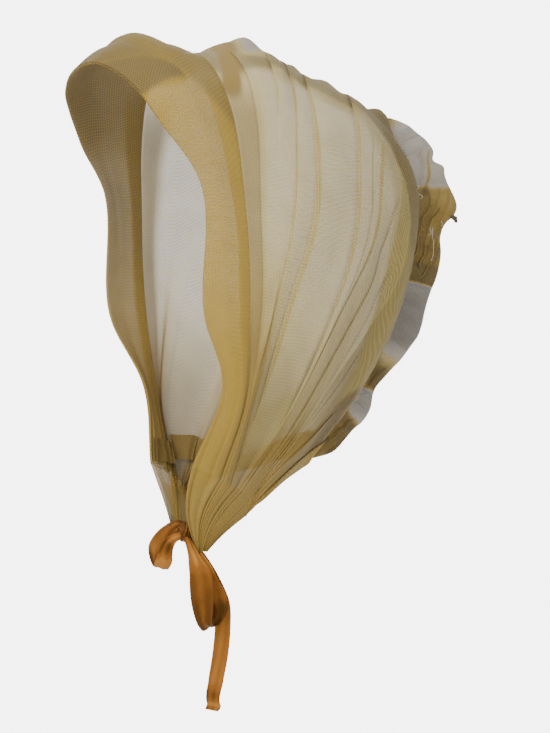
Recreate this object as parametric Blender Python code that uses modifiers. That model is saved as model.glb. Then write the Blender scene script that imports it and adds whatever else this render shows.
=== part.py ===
"""A sheer net head scarf, tied under the chin with a satin ribbon.

The scarf keeps the form in which it is worn. The origin is the point inside the crown where the top of the
head sits, -Y is the way the face looks, +X is the wearer's left and +Z is up. The cloth is a fan of arches:
each runs from the gathers beside the chin, up the side of the head, over to the other side and down again,
the first round the face and the last under the nape. Places below are in millimetres from the origin.
"""

import math
from collections import namedtuple

import bmesh
import bpy
import numpy as np

MM = 0.001

# Cloth and ribbon
NET_THICKNESS = 1.0
HEM_THICKNESS = 1.6
RIBBON_THICKNESS = 1.0
SEAT_GAP = 0.3
THROAT_GAP = 1.1

# Arches of the fan. crown is (y, z) where the arch crosses the middle of the head. side is its widest
# point, then it passes the cheek and the jaw and ends at the throat, each (x, y, z). full is the exponent
# of the rounded top, where 2 is an ellipse, and jut is how long it stays forward, where 1 is as long as it
# stays high. run is the cloth from the face edge to the arch.
Arch = namedtuple("Arch", "name run crown side cheek jaw throat full jut")
ARCHES = (
    Arch("face edge", 0, (-102, -6), (72, -67, -70), (67, -60, -150), (57, -44, -187), (30, -51, -235), 2.3, 0.7),
    Arch("band crest", 30, (-80, 12), (75, -56, -76), (72, -49, -150), (62, -40, -190), (33, -44, -238), 2.3, 0.8),
    Arch("band rear", 63, (-46, 7), (76, -39, -84), (74, -35, -153), (64, -33, -195), (36, -36, -242), 2.3, 1.0),
    Arch("crown puff", 104, (-5, 12), (78, -20, -84), (77, -24, -150), (66, -30, -196), (37, -33, -244), 2.2, 1.6),
    Arch("second fold", 142, (29, -3), (78, 3, -84), (76, -15, -147), (66, -26, -196), (38, -30, -246), 2.2, 2.4),
    Arch("third fold", 169, (54, -12), (74, 31, -86), (71, 14, -152), (60, -4, -200), (40, -27, -248), 2.2, 2.3),
    Arch("fourth fold", 202, (83, -27), (64, 53, -92), (63, 27, -148), (54, 0, -204), (41, -25, -250), 2.0, 2.0),
    Arch("upper back", 245, (106, -62), (60, 64, -108), (60, 36, -158), (53, 6, -210), (42, -24, -252.5), 2.0, 1.4),
    Arch("back of head", 292, (102, -108), (54, 62, -138), (56, 34, -178), (52, 6, -218), (43, -23, -255), 2.0, 1.0),
    Arch("low back", 360, (78, -172), (46, 42, -192), (51, 17, -214), (49, -6, -236), (43, -22, -258.5), 2.0, 1.0),
    Arch("nape hem", 434, (35, -232), (25, 21, -238), (42, -1, -246), (46, -14, -255), (42, -22.5, -264), 2.0, 1.0),
)
FULL_RUN = ARCHES[-1].run
BAND_RUN = ARCHES[2].run

# The far side of the face edge was pulled a little further forward than the near side
FAR_LEAN = 4.0
FAR_LEAN_RUN = 90.0

# The doubled strip along the back: from the upper back down beside the seam, then along the nape hem
SEAM_TOP_RUN = 207
HEM_RUN = 415
SEAM_SHARE = 0.07

# Shares of the way from the crown to the throat at which an arch passes its stations
SIDE_AT, CHEEK_AT, JAW_AT = 0.43, 0.68, 0.82
TOP_STATIONS = 4

# Folds that run along the arches. run is the cloth from the face edge, height stands out from the surface,
# half_width is to the foot of the fold at the crown, and it fades in and out between the shares start and end.
Fold = namedtuple("Fold", "run height half_width start end")
FOLDS = (
    Fold(84, 2.0, 7, 0.05, 0.80),
    Fold(104, 5.0, 11, 0.00, 0.34),
    Fold(126, 2.2, 6, 0.10, 1.00),
    Fold(142, 3.0, 6, 0.00, 0.95),
    Fold(169, 3.0, 6, 0.00, 0.95),
    Fold(186, 2.4, 6, 0.20, 1.00),
    Fold(202, 3.0, 6, 0.10, 0.95),
    Fold(236, 2.4, 7, 0.30, 1.00),
)

# Waves of the gathered cloth beside the chin, between two runs and from a share of the way to the throat
Waves = namedtuple("Waves", "first last count height start")
GATHER_WAVES = (
    Waves(6, 54, 1, 1.2, 0.60),
    Waves(80, 396, 7, 1.3, 0.60),
)

# The frill that stands along the middle of the back, where the two halves of the scarf are drawn together.
# run is the cloth from its upper end, height is how far it stands out and sway is how far its waves go
# to each side. Its densest bunch, the tuft, has shorter waves.
Frill = namedtuple("Frill", "run height sway")
FRILL = (
    Frill(0, 3, 0.0),
    Frill(12, 13, 3.0),
    Frill(24, 22, 5.0),
    Frill(34, 27, 5.5),
    Frill(42, 27, 5.0),
    Frill(48, 34, 4.5),
    Frill(54, 34, 4.5),
    Frill(60, 26, 5.0),
    Frill(80, 25, 6.0),
    Frill(98, 24, 6.5),
    Frill(114, 24, 6.5),
    Frill(130, 22, 6.0),
    Frill(148, 19, 6.0),
    Frill(166, 15, 5.5),
    Frill(182, 19, 5.5),
    Frill(200, 20, 6.0),
    Frill(215, 13, 4.0),
    Frill(227, 3, 0.0),
)
FRILL_WAVE = 24.0
TUFT_RUN = 50.0
TUFT_REACH = 12.0
TUFT_WAVE = 9.0
FRILL_CLEAR = 0.5
FRILL_STEPS = 76
FRILL_RINGS = 4

# Each chin gather is a bunch of net that narrows from the throat to its tip, a line from the face edge side
# to the hem side. The far one is the shorter.
Gather = namedtuple("Gather", "name side tip_front tip_hem")
GATHERS = (
    Gather("chin_gather_near", 1, (12, -39, -287), (12, -33, -286)),
    Gather("chin_gather_far", -1, (6.5, -47, -273.5), (10, -38, -276)),
)
GATHER_CLEAR = 1.2
GATHER_BOW = 3.0
GATHER_TOP_THICKNESS = 2.4
GATHER_TIP_THICKNESS = 5.0
GATHER_LOBES = 9
GATHER_LOBE_DEPTH = 0.35
GATHER_SIDES = 36
GATHER_RINGS = 8

# The ribbon lies in strips. Each row is a place on its middle line, the way from its one edge to the other,
# and its width there.
Strip = namedtuple("Strip", "place across width")
NEAR_LOOP = (
    Strip((7.0, -46, -279.3), (0.40, 0.90, 0.20), 4.0),
    Strip((14, -43, -287), (0.40, 0.85, 0.35), 7.5),
    Strip((17, -36, -300), (0.40, 0.85, 0.35), 11.0),
    Strip((16, -29, -311), (0.44, 0.88, 0.18), 11.0),
    Strip((16, -27, -320), (0.44, 0.90, 0.00), 10.0),
    Strip((17, -30, -328), (0.42, 0.85, 0.25), 9.5),
    Strip((19, -34, -333), (0.40, 0.80, 0.45), 9.0),
    Strip((22, -38, -329), (0.42, 0.85, 0.30), 9.0),
    Strip((22, -41.5, -317), (0.44, 0.90, 0.10), 11.0),
    Strip((21, -43, -305), (0.44, 0.90, 0.10), 11.0),
    Strip((18, -45, -293), (0.44, 0.88, 0.20), 8.0),
    Strip((8.8, -47, -277), (0.44, 0.88, 0.20), 4.0),
)
FAR_LOOP = (
    Strip((0, -47, -266.9), (0.30, 0.60, -0.74), 4.0),
    Strip((-4, -51.5, -273), (0.30, 0.60, -0.75), 7.0),
    Strip((-8, -56, -279), (0.30, 0.50, -0.80), 8.5),
    Strip((-11, -60, -285.5), (0.30, 0.35, -0.88), 9.0),
    Strip((-9, -60, -291), (0.30, 0.25, -0.92), 9.0),
    Strip((-5, -56.5, -293.5), (0.30, 0.15, -0.94), 9.0),
    Strip((-1, -54, -289), (0.30, 0.25, -0.92), 8.5),
    Strip((2, -52.5, -281), (0.30, 0.25, -0.92), 7.0),
    Strip((2.5, -51.6, -273.6), (0.30, 0.10, -0.95), 4.5),
)
TAIL = (
    Strip((3, -40.3, -281.1), (0.44, 0.88, 0.20), 5.0),
    Strip((4.5, -34, -292), (0.44, 0.80, 0.40), 8.0),
    Strip((7, -28, -305), (0.44, 0.80, 0.40), 10.0),
    Strip((11, -23.5, -318), (0.44, 0.88, 0.20), 9.5),
    Strip((13, -24, -332), (0.44, 0.90, 0.00), 9.5),
    Strip((13, -25.5, -347), (0.44, 0.90, -0.10), 9.5),
    Strip((12, -28, -363), (0.44, 0.88, -0.20), 9.0),
    Strip((10, -29.5, -380), (0.44, 0.88, -0.20), 8.0),
)
KNOT_PLACE = (1, -44.5, -276)
KNOT_SIZE = (7.0, 4.8, 5.6)

NET = (0.60, 0.49, 0.27, 1.0)
NET_DOUBLE = (0.48, 0.34, 0.12, 1.0)
SATIN = (0.55, 0.22, 0.06, 1.0)


def clear_scene():
    for obj in list(bpy.data.objects):
        bpy.data.objects.remove(obj, do_unlink=True)


def slopes(keys, values):
    """Slope at each key, as a weighted mean of the slopes on its two sides."""
    gaps = np.diff(keys)
    shape = (-1,) + (1,) * (values.ndim - 1)
    rates = np.diff(values, axis=0) / gaps.reshape(shape)
    inner_before = gaps[:-1].reshape(shape)
    inner_after = gaps[1:].reshape(shape)
    inner = (rates[:-1] * inner_after + rates[1:] * inner_before) / (inner_before + inner_after)
    return np.concatenate([rates[:1], inner, rates[-1:]])


def spline(keys, values, at):
    """Smooth curve through values at keys, read at the places in at. Each place may have its own values,
    given as values[key, place]."""
    keys = np.asarray(keys, float)
    values = np.asarray(values, float)
    at = np.asarray(at, float)
    first = np.clip(np.searchsorted(keys, at, side="right") - 1, 0, len(keys) - 2)
    gap = keys[first + 1] - keys[first]
    share = (at - keys[first]) / gap
    rates = slopes(keys, values)
    own = values.ndim > 1 and values.shape[1] == len(at) and values.ndim == 3
    places = (first, np.arange(len(at))) if own else (first,)
    ends = (first + 1, np.arange(len(at))) if own else (first + 1,)
    size = (len(at),) + (1,) * (values[places].ndim - 1)
    share = share.reshape(size)
    gap = gap.reshape(size)
    square = share * share
    cube = square * share
    return (
        values[places] * (2 * cube - 3 * square + 1)
        + rates[places] * gap * (cube - 2 * square + share)
        + values[ends] * (3 * square - 2 * cube)
        + rates[ends] * gap * (cube - square)
    )


def smooth_step(low, high, value):
    share = np.clip((value - low) / (high - low), 0, 1)
    return share * share * (3 - 2 * share)


def arch_stations(arch):
    """Points of one half of an arch from the crown to the throat."""
    crown = np.array((0.0,) + arch.crown)
    side = np.array(arch.side, float)
    points = []
    for i in range(TOP_STATIONS):
        turn = 0.5 * math.pi * i / TOP_STATIONS
        out = math.sin(turn) ** (2 / arch.full)
        rise = math.cos(turn) ** (2 / arch.full)
        point = side + (crown - side) * (0, rise**arch.jut, rise)
        point[0] = side[0] * out
        points.append(point)
    return np.array(points + [side, arch.cheek, arch.jaw, arch.throat], float)


def fan_keys():
    """Shares of the way along an arch, from -1 at the far throat to 1 at the near one, and the points there."""
    near = [SIDE_AT * i / TOP_STATIONS for i in range(TOP_STATIONS)] + [SIDE_AT, CHEEK_AT, JAW_AT, 1.0]
    keys = np.array([-k for k in near[:0:-1]] + near)
    rows = []
    for arch in ARCHES:
        half = arch_stations(arch)
        rows.append(np.concatenate([half[:0:-1] * (-1, 1, 1), half]))
    return keys, np.array(rows)


ALONG_KEYS, ARCH_POINTS = fan_keys()
RUN_KEYS = np.array([arch.run for arch in ARCHES], float)


def plain_fan(run, along):
    """Smooth surface of the scarf, without its folds."""
    stations = spline(RUN_KEYS, ARCH_POINTS, run)
    points = spline(ALONG_KEYS, stations.transpose(1, 0, 2), along)
    lean = 1 - smooth_step(0, FAR_LEAN_RUN, run)
    lean *= smooth_step(0.00, 0.12, -along) * (1 - smooth_step(0.14, 0.30, -along))
    points[:, 1] -= FAR_LEAN * lean
    return points


def fan_frame(run, along):
    """Point, outward normal, and the millimetres of surface for one unit of run and of along."""
    step = 0.5
    turn = 0.004
    late, early = np.clip(run + step, 0, FULL_RUN), np.clip(run - step, 0, FULL_RUN)
    near, far = np.clip(along + turn, -1, 1), np.clip(along - turn, -1, 1)
    by_run = (plain_fan(late, along) - plain_fan(early, along)) / (late - early)[:, None]
    by_along = (plain_fan(run, near) - plain_fan(run, far)) / (near - far)[:, None]
    normal = np.cross(by_along, by_run)
    normal /= np.linalg.norm(normal, axis=1)[:, None]
    return plain_fan(run, along), normal, np.linalg.norm(by_run, axis=1), np.linalg.norm(by_along, axis=1)


def fold_height(run, along):
    """How far the folds and gathers lift the cloth off the smooth surface."""
    share = np.abs(along)
    lift = np.zeros_like(run)
    for fold in FOLDS:
        near = np.clip(1 - np.abs(run - fold.run) / fold.half_width, 0, 1)
        fade = smooth_step(fold.start - 0.10, fold.start + 0.05, share)
        fade *= 1 - smooth_step(fold.end - 0.30, fold.end, share)
        lift += fold.height * near * fade
    for waves in GATHER_WAVES:
        turns = np.interp(run, (waves.first, waves.last), (0, waves.count))
        wave = 0.5 - 0.5 * np.cos(2 * math.pi * turns)
        lift += waves.height * wave * smooth_step(waves.start, 1.0, share)
    return lift


def fan(run, along, run_pull, along_pull):
    """Point of the folded cloth, moved along it by the two pulls in millimetres."""
    _, _, by_run, by_along = fan_frame(run, along)
    run = np.clip(run + run_pull / by_run, 0, FULL_RUN)
    along = np.clip(along + along_pull / by_along, -1, 1)
    point, normal, _, _ = fan_frame(run, along)
    return point + normal * fold_height(run, along)[:, None]


def material(name, colour, roughness):
    made = bpy.data.materials.new(name)
    made.use_nodes = True
    shader = made.node_tree.nodes["Principled BSDF"]
    shader.inputs["Base Color"].default_value = colour
    shader.inputs["Roughness"].default_value = roughness
    shader.inputs["Metallic"].default_value = 0.0
    return made


def grid_mesh(columns, rows, place, keep=None):
    """A flat grid whose corners are moved to place(column, row), with the cells that keep refuses cut out."""
    bm = bmesh.new()
    bmesh.ops.create_grid(bm, x_segments=columns, y_segments=rows, size=0.5)
    for vert in bm.verts:
        vert.co.x = round((vert.co.x + 0.5) * columns)
        vert.co.y = round((vert.co.y + 0.5) * rows)
    if keep:
        spare = [face for face in bm.faces if not keep(*face.calc_center_median()[:2])]
        bmesh.ops.delete(bm, geom=spare, context="FACES")
    cells = np.array([vert.co[:2] for vert in bm.verts]).astype(int)
    for vert, point in zip(bm.verts, place(cells[:, 0], cells[:, 1]) * MM):
        vert.co = point
    return bm


def new_object(name, bm, finish):
    mesh = bpy.data.meshes.new(name)
    bm.to_mesh(mesh)
    bm.free()
    obj = bpy.data.objects.new(name, mesh)
    obj.data.materials.append(finish)
    return obj


def give_wall(obj, thickness):
    wall = obj.modifiers.new("Wall", "SOLIDIFY")
    wall.thickness = thickness * MM
    wall.offset = 0.0
    return obj


def lines_between(start, stop, breaks, widest):
    """Places from start to stop that include the breaks between them, none further apart than widest."""
    stops = sorted({start, stop} | {b for b in breaks if start < b < stop})
    lines = []
    for low, high in zip(stops, stops[1:]):
        pieces = max(1, math.ceil((high - low) / widest))
        lines += [low + (high - low) * i / pieces for i in range(pieces)]
    return np.array(lines + [stop], float)


def along_lines():
    """Places along an arch from throat to throat, closer together where it turns."""
    half = lines_between(SEAM_SHARE, 1.0, (0.35, 0.62, JAW_AT), 0.071)
    half = np.concatenate([[0.0, SEAM_SHARE / 2], half])
    return np.concatenate([-half[:0:-1], half])


def fan_sheet(name, runs, pull, thickness, finish, keep=None):
    """A part of the fan between run lines. pull gives, for each corner, the millimetres that it draws back
    from its neighbours, and keep says which cells are part of it."""
    alongs = along_lines()

    def place(column, row):
        run = runs[column]
        along = alongs[row]
        return fan(run, along, *pull(run, along))

    def cell(column, row):
        run = np.interp(column, range(len(runs)), runs)
        along = np.interp(row, range(len(alongs)), alongs)
        return keep(run, abs(along))

    bm = grid_mesh(len(runs) - 1, len(alongs) - 1, place, keep and cell)
    return give_wall(new_object(name, bm, finish), thickness)


def half_gap(along):
    """Half of the gap between two parts of the fan, which widens where the cloth turns to the throat."""
    return 0.5 * (SEAT_GAP + (THROAT_GAP - SEAT_GAP) * smooth_step(0.55, JAW_AT, np.abs(along)))


def make_face_band(finish):
    def pull(run, along):
        return np.where(run == BAND_RUN, -half_gap(along), 0), np.zeros_like(along)

    runs = lines_between(0, BAND_RUN, (ARCHES[1].run,), 8)
    return fan_sheet("face_band", runs, pull, HEM_THICKNESS, finish)


def seam_edge(along):
    """1 or -1 on the near or far edge of the strip beside the seam, 0 elsewhere."""
    return np.sign(along) * np.isclose(np.abs(along), SEAM_SHARE)


def make_hood(finish):
    def pull(run, along):
        by_run = np.where(run == BAND_RUN, half_gap(along), 0) - np.where(run == HEM_RUN, half_gap(along), 0)
        by_run -= np.where((run == SEAM_TOP_RUN) & (np.abs(along) <= SEAM_SHARE + 1e-6), SEAT_GAP / 2, 0)
        by_along = np.where(run >= SEAM_TOP_RUN, seam_edge(along) * SEAT_GAP / 2, 0)
        return by_run, by_along

    def keep(run, share):
        return run < SEAM_TOP_RUN or share > SEAM_SHARE

    breaks = [SEAM_TOP_RUN]
    for fold in FOLDS:
        breaks += [fold.run - fold.half_width, fold.run, fold.run + fold.half_width]
    runs = lines_between(BAND_RUN, HEM_RUN, breaks, 17)
    return fan_sheet("hood", runs, pull, NET_THICKNESS, finish, keep)


def make_back_hem(finish):
    def pull(run, along):
        by_run = np.where(run == SEAM_TOP_RUN, SEAT_GAP / 2, 0)
        by_run += np.where((run == HEM_RUN) & (np.abs(along) >= SEAM_SHARE - 1e-6), half_gap(along), 0)
        by_along = -np.where(run <= HEM_RUN, seam_edge(along) * SEAT_GAP / 2, 0)
        return by_run, by_along

    def keep(run, share):
        return run > HEM_RUN or share < SEAM_SHARE

    runs = lines_between(SEAM_TOP_RUN, FULL_RUN, (HEM_RUN,), 12)
    return fan_sheet("back_hem", runs, pull, HEM_THICKNESS, finish, keep)


def frill_phases(runs):
    """Turn of the frill's waves at each run: they are shorter in the tuft."""
    near_tuft = np.exp(-(((runs - TUFT_RUN) / TUFT_REACH) ** 2))
    waves = FRILL_WAVE + (TUFT_WAVE - FRILL_WAVE) * near_tuft
    turns = 2 * math.pi * np.gradient(runs) / waves
    return np.cumsum(turns) - turns[0]


def make_frill(finish):
    """A strip that stands off the back hem, swaying from side to side in waves."""
    table = np.array([(row.height, row.sway) for row in FRILL], float)
    keys = np.array([row.run for row in FRILL], float)
    runs = np.linspace(0, keys[-1], FRILL_STEPS + 1)
    phases = frill_phases(runs)
    sizes = spline(keys, table, runs)
    clear = FRILL_CLEAR + HEM_THICKNESS / 2
    root_runs = SEAM_TOP_RUN + 1 + (FULL_RUN - SEAM_TOP_RUN - 2) * runs / keys[-1]

    def place(column, row):
        root, normal, _, _ = fan_frame(root_runs[column], np.zeros(len(column)))
        share = row / FRILL_RINGS
        point = root + normal * (clear + share * sizes[column, 0])[:, None]
        point[:, 0] += sizes[column, 1] * share**0.8 * np.sin(phases[column])
        return point

    bm = grid_mesh(FRILL_STEPS, FRILL_RINGS, place)
    return give_wall(new_object("back_frill", bm, finish), NET_THICKNESS)


def closed_loft(name, sides, rings, place, finish):
    """A closed body through rings of points, each ring placed by place(side, ring), with flat ends."""
    bm = grid_mesh(sides, rings, lambda column, row: place(column % sides, row))
    bmesh.ops.remove_doubles(bm, verts=bm.verts, dist=1e-7)
    ends = [edge for edge in bm.edges if edge.is_boundary]
    bmesh.ops.holes_fill(bm, edges=ends, sides=0)
    if bm.calc_volume(signed=True) < 0:
        bmesh.ops.reverse_faces(bm, faces=bm.faces)
    return new_object(name, bm, finish)


def make_gather(gather, finish):
    """A bunch of net from the throat line of the fan down to the gather's tip, with a lobe for each fold."""
    mirror = np.array((gather.side, 1, 1), float)
    front = np.array(gather.tip_front) * mirror
    hem = np.array(gather.tip_hem) * mirror

    def place(side, ring):
        turn = 2 * math.pi * side / GATHER_SIDES
        across = 0.5 - 0.48 * np.cos(turn)
        drop = ring / GATHER_RINGS
        top, normal, _, _ = fan_frame(FULL_RUN * across, np.full(len(side), float(gather.side)))
        tip = front + (hem - front) * across[:, None]
        clear = GATHER_CLEAR / np.linalg.norm(tip - top, axis=1)
        middle = top + (tip - top) * (clear + drop * (1 - clear))[:, None]
        middle[:, 0] -= gather.side * GATHER_BOW * np.sin(math.pi * drop)
        middle[:, 1] -= GATHER_BOW * np.sin(math.pi * drop) * (1 - across)
        deep = GATHER_TOP_THICKNESS + (GATHER_TIP_THICKNESS - GATHER_TOP_THICKNESS) * drop**0.7
        lobes = 1 + GATHER_LOBE_DEPTH * np.sin(math.pi * drop) * np.cos(GATHER_LOBES * turn)
        return middle + normal * (0.5 * deep * np.sin(turn) * lobes)[:, None]

    return closed_loft(gather.name, GATHER_SIDES, GATHER_RINGS, place, finish)


def make_strip(name, rows, finish):
    """A ribbon along a smooth line through the rows' places."""
    places = np.array([row.place for row in rows], float)
    table = np.array([row.place + row.across + (row.width,) for row in rows], float)
    keys = np.concatenate([[0], np.cumsum(np.linalg.norm(np.diff(places, axis=0), axis=1))])
    steps = 4 * (len(rows) - 1)
    values = spline(keys, table, np.linspace(0, keys[-1], steps + 1))
    across = values[:, 3:6] / np.linalg.norm(values[:, 3:6], axis=1)[:, None]

    def place(column, row):
        shift = (row - 1) * values[column, 6] / 2
        return values[column, :3] + across[column] * shift[:, None]

    bm = grid_mesh(steps, 2, place)
    return give_wall(new_object(name, bm, finish), RIBBON_THICKNESS)


def make_knot(finish):
    bm = bmesh.new()
    bmesh.ops.create_uvsphere(bm, u_segments=16, v_segments=10, radius=1)
    bm.normal_update()
    for vert in bm.verts:
        turn = math.atan2(vert.co.y, vert.co.x)
        ridge = 1 + 0.06 * math.cos(3 * turn + 4 * vert.co.z)
        sized = [vert.co[i] * KNOT_SIZE[i] * ridge + KNOT_PLACE[i] for i in range(3)]
        vert.co = [value * MM for value in sized]
    return new_object("ribbon_knot", bm, finish)


def main():
    clear_scene()
    collection = bpy.data.collections.new("Head scarf")
    bpy.context.scene.collection.children.link(collection)
    net = material("Net", NET, 0.6)
    double_net = material("Double net", NET_DOUBLE, 0.6)
    satin = material("Satin", SATIN, 0.35)
    pieces = [make_hood(net), make_face_band(double_net), make_back_hem(double_net), make_frill(net)]
    pieces += [make_gather(gather, double_net) for gather in GATHERS]
    pieces += [make_knot(satin), make_strip("ribbon_loop_near", NEAR_LOOP, satin)]
    pieces += [make_strip("ribbon_loop_far", FAR_LOOP, satin), make_strip("ribbon_tail", TAIL, satin)]
    for piece in pieces:
        collection.objects.link(piece)


main()
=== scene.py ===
"""A sheer net head scarf in the form in which it is worn, tied under the chin with a satin ribbon.

The cloth is a fan of arches: each runs from the gathers beside the chin, up the side of the head, over to
the other side and down again, the first round the face and the last under the nape. Places are worked out
in millimetres from the point inside the crown where the top of the head sits, and meshes are in metres.
"""

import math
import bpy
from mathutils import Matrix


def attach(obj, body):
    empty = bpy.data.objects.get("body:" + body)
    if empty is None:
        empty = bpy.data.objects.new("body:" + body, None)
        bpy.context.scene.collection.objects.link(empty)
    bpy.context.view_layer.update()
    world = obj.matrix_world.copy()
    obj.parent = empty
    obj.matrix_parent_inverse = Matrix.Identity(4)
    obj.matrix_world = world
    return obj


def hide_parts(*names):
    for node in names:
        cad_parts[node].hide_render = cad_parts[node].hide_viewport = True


bl_info = {
    "name": "Net head scarf",
    "version": (1, 0, 0),
    "blender": (4, 5, 0),
    "location": "3D View > Sidebar > Scarf",
    "description": "Builds a sheer net head scarf with its folds, frill, chin gathers and ribbon bow",
    "category": "Object",
}

from collections import namedtuple

import bpy
import numpy as np
from mathutils import Vector

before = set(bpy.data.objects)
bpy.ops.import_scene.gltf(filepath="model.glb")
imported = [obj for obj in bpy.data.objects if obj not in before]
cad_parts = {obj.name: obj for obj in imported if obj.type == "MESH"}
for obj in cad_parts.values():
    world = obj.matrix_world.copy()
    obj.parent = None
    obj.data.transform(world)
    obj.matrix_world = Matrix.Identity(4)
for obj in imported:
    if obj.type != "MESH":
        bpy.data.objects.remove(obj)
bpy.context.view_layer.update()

MM = 0.001
TURN = 2 * math.pi

# Arches of the fan, in order: the face edge, the crest and the rear of the band, the crown's puff, three
# folds, the upper back, the back of the head, the low back and the nape hem. run is the cloth from the face
# edge to the arch, and crown is (y, z) where it crosses the middle of the head. side is its widest point,
# then it passes the cheek and the jaw and ends at the throat, each (x, y, z). full is the exponent of the
# rounded top, and jut is how long it stays forward.
Arch = namedtuple("Arch", "run crown side cheek jaw throat full jut")
ARCHES = (
    Arch(0, (-102, -6), (72, -67, -70), (67, -60, -150), (57, -44, -187), (30, -51, -235), 2.3, 0.7),
    Arch(30, (-80, 12), (75, -56, -76), (72, -49, -150), (62, -40, -190), (33, -44, -238), 2.3, 0.8),
    Arch(63, (-46, 7), (76, -39, -84), (74, -35, -153), (64, -33, -195), (36, -36, -242), 2.3, 1.0),
    Arch(104, (-5, 12), (78, -20, -84), (77, -24, -150), (66, -30, -196), (37, -33, -244), 2.2, 1.6),
    Arch(142, (29, -3), (78, 3, -84), (76, -15, -147), (66, -26, -196), (38, -30, -246), 2.2, 2.4),
    Arch(169, (54, -12), (74, 31, -86), (71, 14, -152), (60, -4, -200), (40, -27, -248), 2.2, 2.3),
    Arch(202, (83, -27), (64, 53, -92), (63, 27, -148), (54, 0, -204), (41, -25, -250), 2.0, 2.0),
    Arch(245, (106, -62), (60, 64, -108), (60, 36, -158), (53, 6, -210), (42, -24, -252.5), 2.0, 1.4),
    Arch(292, (102, -108), (54, 62, -138), (56, 34, -178), (52, 6, -218), (43, -23, -255), 2.0, 1.0),
    Arch(360, (78, -172), (46, 42, -192), (51, 17, -214), (49, -6, -236), (43, -22, -258.5), 2.0, 1.0),
    Arch(434, (35, -232), (25, 21, -238), (42, -1, -246), (46, -14, -255), (42, -22.5, -264), 2.0, 1.0),
)
FULL_RUN = ARCHES[-1].run
BAND_RUN = ARCHES[2].run
SEAM_TOP_RUN = 207
HEM_RUN = 415
SEAM_SHARE = 0.07
# How far forward the face edge lies on the far side: share of the way down and millimetres
FAR_LEAN = ((0, 0), (0.12, 4.0), (0.15, 3.5), (0.22, 0.0), (0.30, -4.0), (0.37, -3.6), (0.48, 0.0), (1, 0))
FAR_LEAN_RUN = 90.0
SIDE_AT, CHEEK_AT, JAW_AT = 0.43, 0.68, 0.82
TOP_STATIONS = 4
# Half the distances in run and in along over which the slopes of the surface are taken
RUN_NUDGE, ALONG_NUDGE = 0.5, 0.004

# Knife pleats that run along the arches. run is where a pleat starts and width the surface it takes, fold is
# how far its layers pass each other (over 0.16 they overlap), and lift is how high its top layer lies.
# It fades in and out between the shares start and end of the way from the crown to the throat, and lean is
# how far it moves towards the face over the crown.
Pleat = namedtuple("Pleat", "run width fold lift start end lean")
PLEATS = (
    Pleat(79, 8, 0.30, 1.0, 0.10, 0.90, 0),
    Pleat(98, 12, 0.34, 3.0, 0.14, 0.42, 0),
    Pleat(121, 8, 0.42, 1.4, 0.12, 0.94, 4),
    Pleat(139, 11, 0.46, 2.6, 0.12, 0.96, 9),
    Pleat(167.5, 11, 0.46, 2.6, 0.12, 0.96, 5),
    Pleat(183, 7, 0.40, 1.6, 0.24, 0.96, 0),
    Pleat(196, 12, 0.46, 2.6, 0.22, 0.96, 4),
    Pleat(231, 10, 0.46, 1.8, 0.30, 0.97, 0),
    Pleat(268, 9, 0.36, 1.2, 0.44, 0.97, 0),
    Pleat(318, 9, 0.36, 1.0, 0.54, 0.97, 0),
    Pleat(372, 8, 0.36, 0.9, 0.48, 0.97, 0),
)
PLEAT_LINES = 15
PLEAT_FALL = 16.0
LEAN_REACH = 24.0
FAR_FOLD = 0.18

# How far the cloth stands off the smooth surface over the middle of the head: run and height
CREST = (
    (0, 4.6), (10, 4.0), (18, 2.4), (24, 0.2), (30, 3.2), (36, 2.4), (45, -0.4), (50, 0.8), (60, -0.4),
    (70, 0.2), (77, 0.6), (84, 2.6), (91, 3.8), (96, 4.2), (101, 6.6), (106, 4.6), (112, -1.0), (118, -0.8),
    (127, 1.2), (135, 4.4), (142, 1.8), (150, 2.6), (160, 4.8), (168, 2.0), (176, 0.4), (184, 0.6),
    (192, 2.4), (199, 7.4), (206, 7.0), (214, 3.0), (226, 1.5), (240, 0.0), (434, 0.0),
)
CREST_REACH = 0.14

# How far the hood is drawn in beside the top of its back seam
TUCK = 5.0

# Where the hood turns over towards its back seam, as a denser rim with painted shade: share of the way down
# and run there
RIM = (
    (0, 186), (0.10, 186), (0.14, 190), (0.16, 200), (0.17, 212), (0.19, 228), (0.205, 244), (0.22, 254),
    (0.26, 264), (0.30, 271), (0.34, 280), (0.39, 295), (0.47, 304), (0.58, 302), (0.67, 291), (0.80, 284),
    (1, 282),
)

# Gathered pleats beside the chin, and how many layers more the cloth shows for each time it is drawn in
GATHER_PLEATS = 21
GATHER_HEIGHT = 0.95
GATHER_OVERLAP = 0.60
GATHER_START = 0.58
GATHER_LAYERS = 0.34
MOST_LAYERS = 4.0

# Columns and rows of the grids, or the millimetres of cloth between two columns
HOOD_STEP, HOOD_ROWS = 1.9, 248
BAND_STEP, BAND_ROWS = 1.6, 250
HEM_STEP, HEM_ROWS = 1.4, 260
SEAM_STEP, SEAM_ROWS = 1.1, 27
FRILL_COLUMNS, FRILL_ROWS = 560, 61
GATHER_COLUMNS, GATHER_ROWS = 300, 44
LAP_COLUMNS, LAP_ROWS = 130, 24
KNOT_COLUMNS, RIBBON_ROWS = 73, 15
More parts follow.
